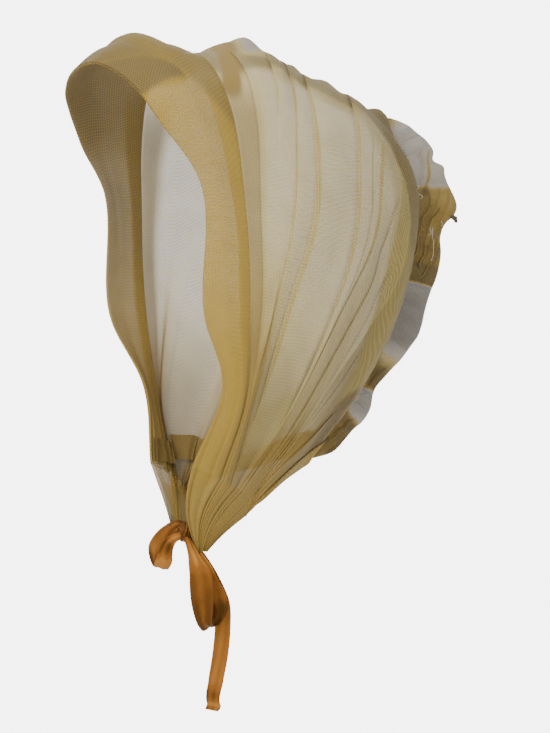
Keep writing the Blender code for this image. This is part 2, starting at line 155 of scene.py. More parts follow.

# The frill that stands along the back seam. run is the cloth from its upper end, height is how far it
# stands out, puff how wide its two layers part, root how deep the gathers reach into it, dense how many
# layers lie there and layers how many at its edge. The last column is the painted light, below 0, and the
# painted shade, above 0, at its edge.
Frill = namedtuple("Frill", "run height puff root dense layers tone")
FRILL = (
    Frill(0, 8.5, 1.5, 5, 2.6, 2.4, 0.2),
    Frill(8, 14.5, 4.5, 3, 2.2, 1.4, -0.8),
    Frill(16, 19.0, 7.5, 3, 2.2, 1.5, -0.9),
    Frill(24, 24.0, 8.5, 4, 2.2, 1.5, -0.9),
    Frill(28, 25.0, 7.0, 6, 2.4, 1.5, -0.9),
    Frill(32, 23.0, 4.0, 5, 2.4, 1.6, -0.85),
    Frill(36, 28.3, 5.0, 5, 2.4, 1.7, -0.8),
    Frill(39, 27.3, 6.0, 6, 2.6, 1.9, -0.8),
    Frill(43.4, 28.5, 5.2, 9, 2.7, 2.0, -0.8),
    Frill(45.4, 29.9, 4.9, 20, 2.6, 2.6, -0.1),
    Frill(49, 32.7, 4.5, 22, 2.6, 2.7, -0.05),
    Frill(52, 34.3, 4.5, 24, 2.8, 2.8, -0.05),
    Frill(56, 33.2, 4.0, 24, 3.0, 2.9, 0.05),
    Frill(60, 28.8, 3.0, 22, 3.1, 2.9, 0.12),
    Frill(68, 26.5, 3.0, 16, 3.2, 2.7, 0.28),
    Frill(76, 28.0, 4.5, 15, 3.4, 3.0, 0.5),
    Frill(86, 27.5, 5.0, 14, 3.4, 3.0, 0.5),
    Frill(98, 26.7, 4.5, 16, 3.6, 2.8, 0.6),
    Frill(99, 26.5, 5.5, 11, 3.4, 2.1, -0.9),
    Frill(104, 26.5, 6.0, 10, 3.4, 2.1, -1.4),
    Frill(114, 26.5, 8.0, 9, 3.4, 2.1, -1.6),
    Frill(126, 26.0, 8.5, 8, 3.4, 2.1, -1.6),
    Frill(136, 23.6, 7.0, 9, 3.2, 2.1, -1.5),
    Frill(143, 22.4, 6.0, 9, 3.0, 1.9, -0.7),
    Frill(150, 20.0, 4.5, 11, 2.6, 2.1, 0.3),
    Frill(156, 17.6, 3.5, 10, 2.8, 3.0, 0.95),
    Frill(167, 14.2, 2.5, 12, 2.8, 3.6, 1.0),
    Frill(170, 14.6, 3.6, 8, 3.2, 2.0, -1.0),
    Frill(178, 18.4, 5.5, 8, 3.2, 1.9, -1.3),
    Frill(187, 19.4, 5.0, 8, 3.2, 1.9, -0.8),
    Frill(192, 18.0, 3.0, 14, 3.2, 3.0, 0.9),
    Frill(204, 15.6, 3.0, 14, 3.0, 3.4, 1.0),
    Frill(214, 13.4, 2.5, 12, 3.0, 3.0, 1.0),
    Frill(227, 4.0, 1.5, 9, 3.0, 3.0, 0.9),
)

# The gathered corners beside the chin. bulge is how far the front edge bows forward, and lap is how much of
# the band's end is turned in there.
Gather = namedtuple("Gather", "name node side tip_front tip_hem bulge lap")
GATHERS = (
    Gather("net_chin_gather_near", "chin_gather_near", 1, (12, -39, -287), (12, -33, -286), 4.6, 0),
    Gather("net_chin_gather_far", "chin_gather_far", -1, (6.5, -47, -273.5), (10, -38, -276), 0.3, 240),
)

# The ribbon lies in strips. Each row is a place on its middle line, the way from its one edge to the other,
# its width there, and its painted shading: painted highlight below 0, painted shade above 0.
Strip = namedtuple("Strip", "place across width tone")
NEAR_LOOP = (
    Strip((5.4, -43.7, -279.0), (0.59, 0.74, -0.31), 4.0, 0.5),
    Strip((12.3, -40.9, -286.2), (0.58, 0.73, -0.35), 9.5, -0.6),
    Strip((15.9, -38.0, -292.5), (0.58, 0.73, -0.35), 11.5, -0.7),
    Strip((17.5, -35.9, -299.5), (0.59, 0.75, -0.3), 12.5, 0.1),
    Strip((16.5, -29.9, -311.0), (0.52, 0.85, -0.1), 12.5, 0.25),
    Strip((16.0, -27.9, -320.5), (0.44, 0.9, 0.0), 11.0, 1.1),
    Strip((16.5, -30.3, -327.6), (0.44, 0.89, 0.1), 8.6, 1.0),
    Strip((18.9, -34.2, -331.1), (0.42, 0.86, 0.3), 9.5, 0.7),
    Strip((21.3, -38.5, -329.4), (0.44, 0.89, 0.1), 8.6, 0.85),
    Strip((22.1, -41.0, -318.5), (0.44, 0.9, 0.0), 12.4, 0.8),
    Strip((22.1, -41.7, -307.0), (0.44, 0.9, 0.0), 14.0, 0.62),
    Strip((21.9, -42.4, -298.3), (0.44, 0.9, 0.0), 13.0, 0.42),
    Strip((21.6, -43.2, -294.8), (0.44, 0.9, -0.05), 12.0, 0.1),
    Strip((18.5, -44.3, -289.1), (0.43, 0.88, -0.21), 8.5, -0.4),
    Strip((9.9, -45.9, -278.0), (0.43, 0.88, -0.21), 4.0, 0.4),
)
FAR_LOOP = (
    Strip((2.7, -42.4, -272.7), (0.13, 0.05, -0.99), 6.0, 0.9),
    Strip((-0.4, -47.6, -272.1), (0.15, 0.09, -0.98), 8.0, 0.75),
    Strip((-4.0, -51.2, -275.6), (0.28, 0.36, -0.89), 9.6, 0.5),
    Strip((-6.8, -54.8, -281.0), (0.4, 0.59, -0.7), 11.5, 0.3),
    Strip((-7.6, -57.7, -286.3), (0.47, 0.73, -0.5), 11.0, 0.2),
    Strip((-6.5, -57.9, -291.3), (0.42, 0.86, -0.3), 9.5, 0.9),
    Strip((-3.3, -56.8, -296.4), (0.43, 0.88, -0.2), 9.0, -0.1),
    Strip((-0.2, -56.3, -293.2), (0.44, 0.89, -0.1), 10.0, -0.6),
    Strip((1.3, -55.5, -287.1), (0.42, 0.86, -0.3), 8.5, 0.6),
    Strip((2.6, -54.0, -282.0), (0.35, 0.72, -0.6), 7.0, 0.8),
    Strip((4.4, -50.3, -278.2), (0.13, 0.27, -0.95), 5.0, -0.6),
    Strip((6.3, -44.1, -276.8), (0.04, 0.09, -1.0), 4.0, 0.8),
)
TAIL = (
    Strip((3, -40.3, -281.1), (0.44, 0.88, 0.20), 5.0, 0.5),
    Strip((4.5, -34, -292), (0.44, 0.80, 0.40), 8.0, 0.6),
    Strip((7, -28, -305), (0.44, 0.80, 0.40), 10.0, 0.7),
    Strip((11, -23.5, -318), (0.44, 0.88, 0.20), 9.5, 0.0),
    Strip((13, -24, -332), (0.44, 0.90, 0.00), 9.5, -0.15),
    Strip((13, -25.5, -347), (0.44, 0.90, -0.10), 9.5, 0.0),
    Strip((12, -28, -363), (0.44, 0.88, -0.20), 9.0, -0.1),
    Strip((10.6, -29.1, -375.5), (0.44, 0.88, -0.20), 8.4, 0.1),
    Strip((10.3, -28.4, -377.5), (0.44, 0.88, -0.20), 8.6, -0.7),
    Strip((10.1, -28.9, -379), (0.44, 0.88, -0.20), 8.4, 0.4),
    Strip((9.9, -30.0, -380.5), (0.44, 0.88, -0.20), 7.8, 0.3),
)
# The knot's wraps. grow is a wrap's size against the knot's, and aside and above are how far right of and
# above the knot's middle it lies.
Wrap = namedtuple("Wrap", "tilt width grow seed aside above")
WRAPS = (
    Wrap(0.35, 8.5, 1.12, 0.2, 0, 0),
    Wrap(1.75, 7.0, 0.95, 1.9, 0, 0),
    Wrap(-0.75, 6.0, 1.02, 3.1, 0, 0),
    Wrap(2.3, 3.2, 0.42, 0.8, 4.4, -4.6),
    Wrap(0.9, 2.8, 0.36, 2.4, 6.2, -7.2),
)
KNOT_PLACE = (2.9, -43.2, -275.3)
KNOT_RADIUS = 4.8
KNOT_PUFF = 1.12

# Threads on the frill, each from a run and a way over the frill to another. FLOATS are loose lengths of the
# pale gathering thread, and STRANDS are gold and cross the drawn part of the frill.
Thread = namedtuple("Thread", "first last start end")
FLOATS = (
    Thread(41, 45, 0.92, 0.88),
    Thread(64, 85, 0.55, 0.52),
    Thread(46, 50, 0.90, 0.86),
    Thread(60, 63, 0.42, 0.30),
    Thread(64, 70, 0.63, 0.59),
)
STRANDS = (Thread(46, 92, 0.75, 0.82), Thread(54, 90, 0.60, 0.71), Thread(60, 96, 0.26, 0.62))
# The dark cut end at the frill's tuft: places on its middle line, and its strands and their radius
CUT_END = ((1, 129.5, -81), (1.5, 134.5, -82), (2, 139.5, -84), (2, 142.6, -86))
CUT_STRANDS = 4
CUT_RADIUS = 0.85
FLOAT_RADIUS = 0.14
STITCH_RADIUS = 0.16
STITCH_PITCH = 3.4

# The two nets: the haze of fine threads that fills their cells, and how far the cells are turned
SINGLE_FILM, SINGLE_ANGLE = 0.37, 0.35
DOUBLE_FILM, DOUBLE_ANGLE = 0.51, 0.62

# The photo's viewing angle, and the camera's distance and aim
VIEW_TURN = math.radians(64)
CAMERA_DISTANCE = 1.35
CAMERA_SHIFT = 0.015
CAMERA_HEIGHT = -0.1776
CAMERA_LENS = 147.3
FLOOR_HEIGHT = -0.47
FLOOR_RADIUS = 3.0

# Light of the plain room: on the cloth, seen through the net, and seen with nothing in front, and how much
# brighter than that the floor glows
ROOM_LIGHT = 0.9
BEHIND_LIGHT = 1.1
SEEN_LIGHT = 6.0
FLOOR_GLOW = 1.08

# The lamps: how far each stands right of the scarf, towards the camera and up, then its width, power and
# colour
Lamp = namedtuple("Lamp", "name right toward up size power colour")
LAMPS = (
    Lamp("light_key", -0.9, 1.3, 0.8, 0.9, 27.0, (1.0, 0.98, 0.95)),
    Lamp("light_fill", 1.1, 1.3, 0.2, 1.2, 5.0, (0.96, 0.98, 1.0)),
    Lamp("light_top", -0.3, 0.2, 1.3, 1.0, 6.0, (1.0, 1.0, 1.0)),
    Lamp("light_back", -0.3, -1.2, 0.5, 1.0, 4.0, (1.0, 0.99, 0.97)),
)
LAMP_AIM = (0, 0, -0.17)


def length_setting(label, text, value):
    return bpy.props.FloatProperty(name=label, description=text, default=value, unit="LENGTH")


def colour_setting(label, text, value):
    description = "Colour of " + text
    return bpy.props.FloatVectorProperty(name=label, description=description, default=value, subtype="COLOR")


class ScarfSizes(bpy.types.PropertyGroup):
    cell: length_setting("Net cell", "Width of one cell of the net", 0.0018)
    thread: length_setting("Net thread", "Thickness of the net's threads", 0.00030)
    band_loft: length_setting("Band loft", "How far the band's two layers part", 0.0016)
    ripple: length_setting("Ripple", "Height of the soft ripples in the cloth", 0.0005)
    ribbon: length_setting("Ribbon thickness", "Thickness of the satin ribbon", 0.0004)
    stitch: length_setting("Stitch", "Length of one stitch", 0.0022)


class ScarfColours(bpy.types.PropertyGroup):
    net: colour_setting("Net", "the net's threads", (0.57, 0.45, 0.15))
    net_band: colour_setting("Doubled net", "the doubled net", (0.41, 0.265, 0.036))
    net_deep: colour_setting("Gathered net", "the net where it is drawn together", (0.24, 0.155, 0.035))
    net_dark: colour_setting("Shaded net", "the net deep in its folds", (0.085, 0.064, 0.031))
    # Painted light: the pale colour of the lit single puffs of net
    net_lit_puff: colour_setting("Pale net", "the single puffs of net", (0.32, 0.285, 0.25))
    net_grey: colour_setting("Shaded puffs", "the puffs of net away from the light", (0.13, 0.118, 0.10))
    satin: colour_setting("Satin", "the ribbon", (0.205, 0.074, 0.013))
    satin_deep: colour_setting("Shaded satin", "the ribbon in its folds", (0.045, 0.0165, 0.003))
    # Painted highlight: where the ribbon shines
    satin_highlight: colour_setting("Bright satin", "the ribbon where it shines", (0.34, 0.140, 0.026))
    thread: colour_setting("Thread", "the gathering thread", (0.80, 0.74, 0.60))
    floor: colour_setting("Floor", "the studio floor", (0.90, 0.90, 0.90))


def slopes(keys, values):
    """Slope at each key, as a weighted mean of the slopes on its two sides."""
    gaps = np.diff(keys)
    shape = (-1,) + (1,) * (values.ndim - 1)
    rates = np.diff(values, axis=0) / gaps.reshape(shape)
    before = gaps[:-1].reshape(shape)
    after = gaps[1:].reshape(shape)
    inner = (rates[:-1] * after + rates[1:] * before) / (before + after)
    return np.concatenate([rates[:1], inner, rates[-1:]])


def spline(keys, values, at):
    """Smooth curve through values at keys, read at the places in at. Each place may have its own values,
    given as values[key, place]."""
    keys = np.asarray(keys, float)
    values = np.asarray(values, float)
    at = np.asarray(at, float)
    first = np.clip(np.searchsorted(keys, at, side="right") - 1, 0, len(keys) - 2)
    gap = keys[first + 1] - keys[first]
    share = (at - keys[first]) / gap
    rates = slopes(keys, values)
    own = values.ndim == 3 and values.shape[1] == len(at)
    places = (first, np.arange(len(at))) if own else (first,)
    ends = (first + 1, np.arange(len(at))) if own else (first + 1,)
    size = (len(at),) + (1,) * (values[places].ndim - 1)
    share = share.reshape(size)
    gap = gap.reshape(size)
    square = share * share
    cube = square * share
    return (
        values[places] * (2 * cube - 3 * square + 1)
        + rates[places] * gap * (cube - 2 * square + share)
        + values[ends] * (3 * square - 2 * cube)
        + rates[ends] * gap * (cube - square)
    )


def read_table(table, at):
    """Smooth curve through a table's rows, each a key and its value, read at the places in at."""
    keys, values = np.array(table, float).T
    return spline(keys, values, at)


def smooth_step(low, high, value):
    share = np.clip((value - low) / (high - low), 0, 1)
    return share * share * (3 - 2 * share)


def unit(vectors):
    return vectors / np.linalg.norm(vectors, axis=-1, keepdims=True)


def arch_stations(arch):
    """Points of one half of an arch from the crown to the throat."""
    crown = np.array((0.0,) + arch.crown)
    side = np.array(arch.side, float)
    points = []
    for i in range(TOP_STATIONS):
        turn = 0.5 * math.pi * i / TOP_STATIONS
        out = math.sin(turn) ** (2 / arch.full)
        rise = math.cos(turn) ** (2 / arch.full)
        point = side + (crown - side) * (0, rise**arch.jut, rise)
        point[0] = side[0] * out
        points.append(point)
    return np.array(points + [side, arch.cheek, arch.jaw, arch.throat], float)


def fan_keys():
    """Shares of the way along an arch, from -1 at the far throat to 1 at the near one, and its points."""
    near = [SIDE_AT * i / TOP_STATIONS for i in range(TOP_STATIONS)] + [SIDE_AT, CHEEK_AT, JAW_AT, 1.0]
    keys = np.array([-k for k in near[:0:-1]] + near)
    rows = []
    for arch in ARCHES:
        half = arch_stations(arch)
        rows.append(np.concatenate([half[:0:-1] * (-1, 1, 1), half]))
    return keys, np.array(rows)


ALONG_KEYS, ARCH_POINTS = fan_keys()
RUN_KEYS = np.array([arch.run for arch in ARCHES], float)


def plain_fan(run, along):
    """Smooth surface of the scarf, without its folds."""
    stations = spline(RUN_KEYS, ARCH_POINTS, run)
    points = spline(ALONG_KEYS, stations.transpose(1, 0, 2), along)
    lean = read_table(FAR_LEAN, np.clip(-along, 0, 1))
    points[:, 1] -= lean * (1 - smooth_step(0, FAR_LEAN_RUN, run))
    return points


def fan_frame(run, along):
    """Point, outward normal, and the millimetres of surface for one unit of run."""
    run = np.clip(run, 0, FULL_RUN)
    along = np.clip(along, -1, 1)
    late, early = np.clip(run + RUN_NUDGE, 0, FULL_RUN), np.clip(run - RUN_NUDGE, 0, FULL_RUN)
    near, far = np.clip(along + ALONG_NUDGE, -1, 1), np.clip(along - ALONG_NUDGE, -1, 1)
    by_run = (plain_fan(late, along) - plain_fan(early, along)) / (late - early)[:, None]
    by_along = (plain_fan(run, near) - plain_fan(run, far)) / (near - far)[:, None]
    normal = unit(np.cross(by_along, by_run))
    return plain_fan(run, along), normal, np.linalg.norm(by_run, axis=1)


def ripples(run, along):
    """Soft uneven ripples, mostly along the arches, between -1 and 1."""
    wide = np.sin(0.093 * run + 2.1 * np.sin(3.1 * along + 0.4)) * np.cos(4.3 * along + 0.017 * run)
    fine = np.sin(0.31 * run + 1.7 * np.sin(5.7 * along + 1.2)) * np.cos(9.0 * along + 0.9)
    return 0.62 * wide + 0.38 * fine


def gather_turn(base):
    """Turn of the gathered pleats beside the chin, which are not all of one width."""
    share = base / FULL_RUN
    uneven = 0.012 * np.sin(TURN * 3 * share + 1.0) + 0.008 * np.sin(TURN * 7 * share + 0.3)
    return TURN * GATHER_PLEATS * (share + uneven)


def crest(run, along):
    """Height of the cloth over the middle of the head, and how much of it counts at each place."""
    reach = CREST_REACH * (1 - 0.4 * smooth_step(60, 95, run))
    near = 1 - smooth_step(0.02, reach, np.abs(along))
    return read_table(CREST, np.clip(run, 0, FULL_RUN)), near


def unpleated(base):
    """Cloth that lies in no pleat, as folded takes it."""
    return base, np.zeros(len(base)), np.full(len(base), -1)


def folded(base, turn, pleat, along, offset, ripple):
    """Points of the cloth and how many layers deep it is gathered there. base is the cloth from the face
    edge, turn is the way through the pleat that each place is in and offset lifts the whole sheet."""
    share = np.abs(along)
    run = base.copy()
    lift = np.zeros_like(base)
    far = 1 - (1 - FAR_FOLD) * smooth_step(0.0, 0.10, -along)
    over = 1 - smooth_step(0.14, 0.36, share)
    for number, fold in enumerate(PLEATS):
        fade = smooth_step(fold.start - 0.10, fold.start + 0.06, share)
        fade *= 1 - smooth_step(fold.end - 0.22, fold.end, share)
        inside = pleat == number
        run += inside * fade * far * fold.width * fold.fold * np.sin(TURN * turn)
        beside = np.clip((base - fold.run - 0.5 * fold.width) / LEAN_REACH, -1, 1)
        run -= fold.lean * over * (0.5 + 0.5 * np.cos(math.pi * beside))
        through = (base - fold.run) / fold.width
        fall = 1 - smooth_step(fold.run + fold.width, fold.run + fold.width + PLEAT_FALL, base)
        lift += fade * far * fold.lift * smooth_step(0.15, 0.85, through) * fall
    _, _, by_run = fan_frame(run, along)
    gather = smooth_step(GATHER_START, 1.0, share) ** 1.4
    phase = gather_turn(base)
    run -= gather * GATHER_OVERLAP * np.sin(phase) / np.maximum(by_run, 0.05)
    point, normal, by_run = fan_frame(run, along)
    squeeze = np.minimum(1, by_run) ** 0.6
    lift = lift * squeeze + ripple * ripples(base, along) * squeeze * smooth_step(0, 14, base)
    height, near = crest(run, along)
    lift = lift * (1 - near) + height * near
    lift += gather * GATHER_HEIGHT * (0.5 - 0.5 * np.cos(phase))
    tuck = smooth_step(0.12, 0.22, share) * (1 - smooth_step(0.45, 0.60, share))
    lift -= TUCK * tuck * smooth_step(195, 220, base) * (1 - smooth_step(250, 285, base))
    drawn = 1 / np.clip(by_run, 0.08, 1) - 1
    layers = 1 + GATHER_LAYERS * drawn * smooth_step(0.40, 0.86, share)
    return point + normal * (lift + offset)[:, None], np.clip(layers, 1, MOST_LAYERS)


def plain_lines(first, last, step):
    count = max(1, round((last - first) / step))
    return [first + (last - first) * i / count for i in range(count)]


def pleat_columns(first, last, step):
    """Lines of cloth from first to last, closer together in the pleats: the cloth there, the way through
    the pleat and the pleat's number."""
    base, turn, number = [], [], []
    at = first
    for i, fold in enumerate(PLEATS):
        if not first < fold.run < last:
            continue
        plain = plain_lines(at, fold.run, step)
        inner = [k / PLEAT_LINES for k in range(PLEAT_LINES)]
        base += plain + [fold.run + fold.width * share for share in inner]
        turn += [0.0] * len(plain) + inner
        number += [-1] * len(plain) + [i] * len(inner)
        at = fold.run + fold.width
    plain = plain_lines(at, last, step) + [last]
    return (
        np.array(base + plain, float),
        np.array(turn + [0.0] * len(plain)),
        np.array(number + [-1] * len(plain)),
    )


def cloth_lengths(points, axis, start):
    """Cloth from the line start of a grid of points, along the axis, in metres."""
    steps = np.linalg.norm(np.diff(points, axis=axis), axis=2)
    lengths = np.insert(np.cumsum(steps, axis=axis), 0, 0.0, axis=axis)
    return (lengths - np.take(lengths, [start], axis=axis)) * MM


def new_piece(name, node_names, grids, finish):
    """One mesh from grids of points, each (points[column, row], layers, painted shading), with a UV map in
    metres of cloth and the layers and the painted light and shade kept as attributes. It replaces the CAD
    nodes and rides on the one body."""
    verts, faces, uvs, depths, painted_shadings = [], [], [], [], []
    for points, layers, tone in grids:
        columns, rows = points.shape[:2]
        first = sum(len(v) for v in verts)
        index = first + np.arange(columns * rows).reshape(columns, rows)
        verts.append(points.reshape(-1, 3) * MM)
        depths.append(np.broadcast_to(layers, (columns, rows)).reshape(-1))
        painted_shadings.append(np.broadcast_to(tone, (columns, rows)).reshape(-1))
        flat = np.stack([cloth_lengths(points, 0, 0), cloth_lengths(points, 1, rows // 2)], axis=2)
        uvs.append(flat.reshape(-1, 2))
        a, b = index[:-1, :-1], index[:-1, 1:]
        c, d = index[1:, 1:], index[1:, :-1]
        faces.append(np.stack([a, b, c, d], axis=2).reshape(-1, 4))
    verts, faces = np.concatenate(verts), np.concatenate(faces)
    mesh = bpy.data.meshes.new(name)
    mesh.from_pydata(verts.tolist(), [], faces.tolist())
    mesh.validate()
    cloth = mesh.uv_layers.new(name="cloth")
    corners = np.zeros(len(mesh.loops), np.int32)
    mesh.loops.foreach_get("vertex_index", corners)
    cloth.data.foreach_set("uv", np.concatenate(uvs)[corners].reshape(-1).astype(np.float32))
    # The painted light and shade goes into the mesh as an attribute beside the layers
    for attribute, values in (("layers", depths), ("tone", painted_shadings)):
        made = mesh.attributes.new(attribute, "FLOAT", "POINT")
        made.data.foreach_set("value", np.concatenate(values).astype(np.float32))
    mesh.polygons.foreach_set("use_smooth", np.ones(len(mesh.polygons), bool))
    mesh.materials.append(finish)
    obj = bpy.data.objects.new(name, mesh)
    bpy.context.scene.collection.objects.link(obj)
    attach(obj, "root")
    if node_names:
        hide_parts(*node_names)
    return obj


def apply_modifier(obj, kind, **settings):
    modifier = obj.modifiers.new(kind.title(), kind)
    for name, value in settings.items():
        setattr(modifier, name, value)
    bpy.ops.object.select_all(action="DESELECT")
    bpy.context.view_layer.objects.active = obj
    obj.select_set(True)
    bpy.ops.object.modifier_apply(modifier=modifier.name)


class Value:
    """A socket of a material's nodes, so that maths on it can be written as an expression."""

    def __init__(self, shader, socket):
        self.shader = shader
        self.socket = socket

    def maths(self, operation, *others):
        return self.shader.maths(operation, self, *others)

    def __add__(self, other):
        return self.maths("ADD", other)

    def __sub__(self, other):
        return self.maths("SUBTRACT", other)

    def __rsub__(self, other):
        return self.shader.maths("SUBTRACT", other, self)

    def __mul__(self, other):
        return self.maths("MULTIPLY", other)

    def __truediv__(self, other):
        return self.maths("DIVIDE", other)

    __radd__ = __add__
    __rmul__ = __mul__


class Shader:
    """Builds one material's nodes."""

    def __init__(self, name):
        self.material = bpy.data.materials.new(name)
        self.material.use_nodes = True
        self.tree = self.material.node_tree
        self.surface = self.tree.nodes["Principled BSDF"]

    def put(self, socket, value):
        if isinstance(value, Value):
            self.tree.links.new(value.socket, socket)
        elif isinstance(value, tuple) and len(value) == 3 and socket.type == "RGBA":
            socket.default_value = (*value, 1.0)
        else:
            socket.default_value = value

    def node(self, kind, settings=None, **inputs):
        made = self.tree.nodes.new(kind)
        for name, value in (settings or {}).items():
            setattr(made, name, value)
        for name, value in inputs.items():
            place = int(name[1:]) if name[0] == "_" else name.replace("_", " ")
            self.put(made.inputs[place], value)
        return made

    def out(self, made, place=0):
        return Value(self, made.outputs[place])

    def maths(self, operation, *values):
        made = self.tree.nodes.new("ShaderNodeMath")
        made.operation = operation
        for i, value in enumerate(values):
            self.put(made.inputs[i], value)
        return self.out(made)

    def between(self, value, low, high):
        """0 below low and 1 above high, with a smooth change between them."""
        settings = {"interpolation_type": "SMOOTHSTEP"}
        made = self.node("ShaderNodeMapRange", settings, Value=value, From_Min=low, From_Max=high)
        return self.out(made)

    def mix(self, share, first, second):
        made = self.node("ShaderNodeMix", {"data_type": "RGBA"}, _0=share, _6=first, _7=second)
        return self.out(made, 2)

    def cloth(self):
        """The two directions of the cloth, in metres."""
        where = self.node("ShaderNodeUVMap", {"uv_map": "cloth"})
        parts = self.node("ShaderNodeSeparateXYZ", _0=self.out(where))
        return self.out(where), self.out(parts, 0), self.out(parts, 1)

    def noise(self, vector, scale, detail=2.0):
        made = self.node("ShaderNodeTexNoise", Vector=vector, Scale=scale, Detail=detail)
        return self.out(made)

    def attribute(self, name):
        made = self.node("ShaderNodeAttribute", {"attribute_name": name})
        return self.out(made, 2)

    def bump(self, height, strength, distance):
        made = self.node("ShaderNodeBump", Height=height, Strength=strength, Distance=distance)
        self.put(self.surface.inputs["Normal"], self.out(made))

    def set(self, **inputs):
        for name, value in inputs.items():
            self.put(self.surface.inputs[name.replace("_", " ")], value)


def six_sided(across, along, cell, angle):
    """Distance from the middle of the six-sided cell of the net, 0.5 on its sides."""
    c, s = math.cos(angle) / cell, math.sin(angle) / cell
    x = across * c - along * s
    y = (across * s + along * c) / math.sqrt(3)
    ax = x.maths("FRACT") - 0.5
    ay = (y.maths("FRACT") - 0.5) * math.sqrt(3)
    bx = (x + 0.5).maths("FRACT") - 0.5
    by = ((y + 0.5).maths("FRACT") - 0.5) * math.sqrt(3)
    nearer = (ax * ax + ay * ay).maths("LESS_THAN", bx * bx + by * by)
    gx = (bx + (ax - bx) * nearer).maths("ABSOLUTE")
    gy = (by + (ay - by) * nearer).maths("ABSOLUTE")
    return gx.maths("MAXIMUM", gx * 0.5 + gy * (math.sqrt(3) / 2))


def net_material(name, film, colour, angle):
    """Net of six-sided cells. film is the haze of fine threads that fills the cells, and the attribute
    layers fills them further with the cloth that lies behind. The painted shading attribute paints shade
    above 0, which also makes the net more opaque, and below 0 paints light on the lit puffs, then grey shade
    on puffs away from the light further below."""
    sizes, colours = bpy.context.scene.scarf_sizes, bpy.context.scene.scarf_colours
    deep, dark, pale = tuple(colours.net_deep), tuple(colours.net_dark), tuple(colours.net_lit_puff)
    shader = Shader(name)
    where, across, along = shader.cloth()
    cloudy = shader.noise(where, 60.0)
    layers = shader.attribute("layers")
    tone = shader.attribute("tone")
    half = 0.5 * sizes.thread / sizes.cell
    edge = 0.5 - half * (0.7 + 0.6 * cloudy)
    side = six_sided(across, along, sizes.cell, angle)
    thread = shader.between(side, edge - 0.05, edge + 0.05)
    haze = film * (0.85 + 0.3 * cloudy)
    one = haze + (1 - haze) * thread * 0.66
    # Painted shade: above 0 the net is painted darker and also made more opaque
    shaded = shader.between(tone, 0.0, 1.0)
    behind = 1 - shader.maths("POWER", (1 - film) * (1 - 2 * half) ** 2, layers - 1 + shaded)
    alpha = one + (1 - one) * behind
    shade = shader.mix(shader.between(layers, 1.0, 3.2), colour, deep)
    shade = shader.mix((1 - thread) * 0.25, shade, tuple(0.8 * c for c in deep))
    shade = shader.mix(shader.between(cloudy, 0.35, 0.75) * 0.25, shade, deep)
    # Painted shade towards the shaded colour, painted light (pale) on the lit puffs below 0, and painted
    # grey shade on puffs away from the light further below
    shade = shader.mix(shaded * (0.92 - 0.35 * thread), shade, dark)
    shade = shader.mix(shader.between(0 - tone, 0.0, 0.8) * 0.85, shade, pale)
    shade = shader.mix(shader.between(0 - tone, 0.6, 1.8) * 0.9, shade, tuple(colours.net_grey))
    shader.set(Base_Color=shade, Alpha=alpha, Roughness=0.5 + 0.2 * cloudy)
    shader.set(Specular_IOR_Level=0.25, Specular_Tint=(1.0, 0.82, 0.45))
    shader.set(Sheen_Weight=0.05, Sheen_Roughness=0.4, Sheen_Tint=(1.0, 0.85, 0.55))
    shader.bump(thread, 0.35, 0.00015)
    return shader.material


def satin_material(name):
    colours = bpy.context.scene.scarf_colours
    satin, deep, highlight = tuple(colours.satin), tuple(colours.satin_deep), tuple(colours.satin_highlight)
    shader = Shader(name)
    where, across, along = shader.cloth()
    cloudy = shader.noise(where, 140.0)
    tone = shader.attribute("tone")
    stretched = shader.node("ShaderNodeMapping", Vector=where, Scale=(3000.0, 60.0, 1.0))
    weave_and_sheen = shader.noise(shader.out(stretched), 1.0, 3.0)
    twill = (across * 9000.0 + along * 5200.0).maths("SINE")
    shade = shader.mix(shader.between(cloudy, 0.3, 0.7) * 0.12, satin, deep)
    # The weave's streaks, which also roughen and bump the satin, mix its colour towards the painted
    # highlight as painted sheen
    shade = shader.mix(weave_and_sheen * 0.12, shade, highlight)
    # Painted shade in the ribbon's folds, and the painted highlight where it shines
    shade = shader.mix(shader.between(tone + 0.2 * cloudy, 0.1, 1.0) * 0.9, shade, deep)
    shade = shader.mix(shader.between(0 - tone, 0.0, 0.6) * 0.8, shade, highlight)
    shader.set(Base_Color=shade, Roughness=0.34 + 0.12 * weave_and_sheen)
    shader.set(Specular_IOR_Level=0.4, Specular_Tint=(1.0, 0.50, 0.16))
    shader.set(Sheen_Weight=0.03, Sheen_Roughness=0.35, Sheen_Tint=(1.0, 0.6, 0.3))
    shader.bump(twill * 0.35 + weave_and_sheen, 0.15, 0.0001)
    return shader.material


def thread_material(name, colour):
    shader = Shader(name)
    where, across, along = shader.cloth()
    twist = (across * 4200.0 + along * 2600.0).maths("SINE")
    shade = shader.mix(shader.between(twist, -1.0, 1.0), tuple(0.75 * c for c in colour), colour)
    shader.set(Base_Color=shade, Roughness=0.55, Specular_IOR_Level=0.4)
    shader.bump(twist, 0.4, 0.0001)
    return shader.material


def finish_named(name, make, *details):
    """The material of that name, made when it is first asked for."""
    return bpy.data.materials.get(name) or make(name, *details)


def single_net():
    colour = tuple(bpy.context.scene.scarf_colours.net)
    return finish_named("Gold net", net_material, SINGLE_FILM, colour, SINGLE_ANGLE)


def double_net():
    colour = tuple(bpy.context.scene.scarf_colours.net_band)
    return finish_named("Doubled gold net", net_material, DOUBLE_FILM, colour, DOUBLE_ANGLE)


def grid(columns, rows):
    """Column and row numbers of every corner of a grid."""
    return [part.reshape(-1) for part in np.meshgrid(np.arange(columns), np.arange(rows), indexing="ij")]


def along_lines(rows):
    """Places from throat to throat, closer together beside the chin."""
    even = np.linspace(-1, 1, rows)
    return np.sign(even) * (1 - (1 - np.abs(even)) ** 1.15)


def as_grid(shape, points, *values):
    """The same points and values, in the columns and rows of a grid."""
    return (points.reshape(shape + (3,)), *(value.reshape(shape) for value in values))


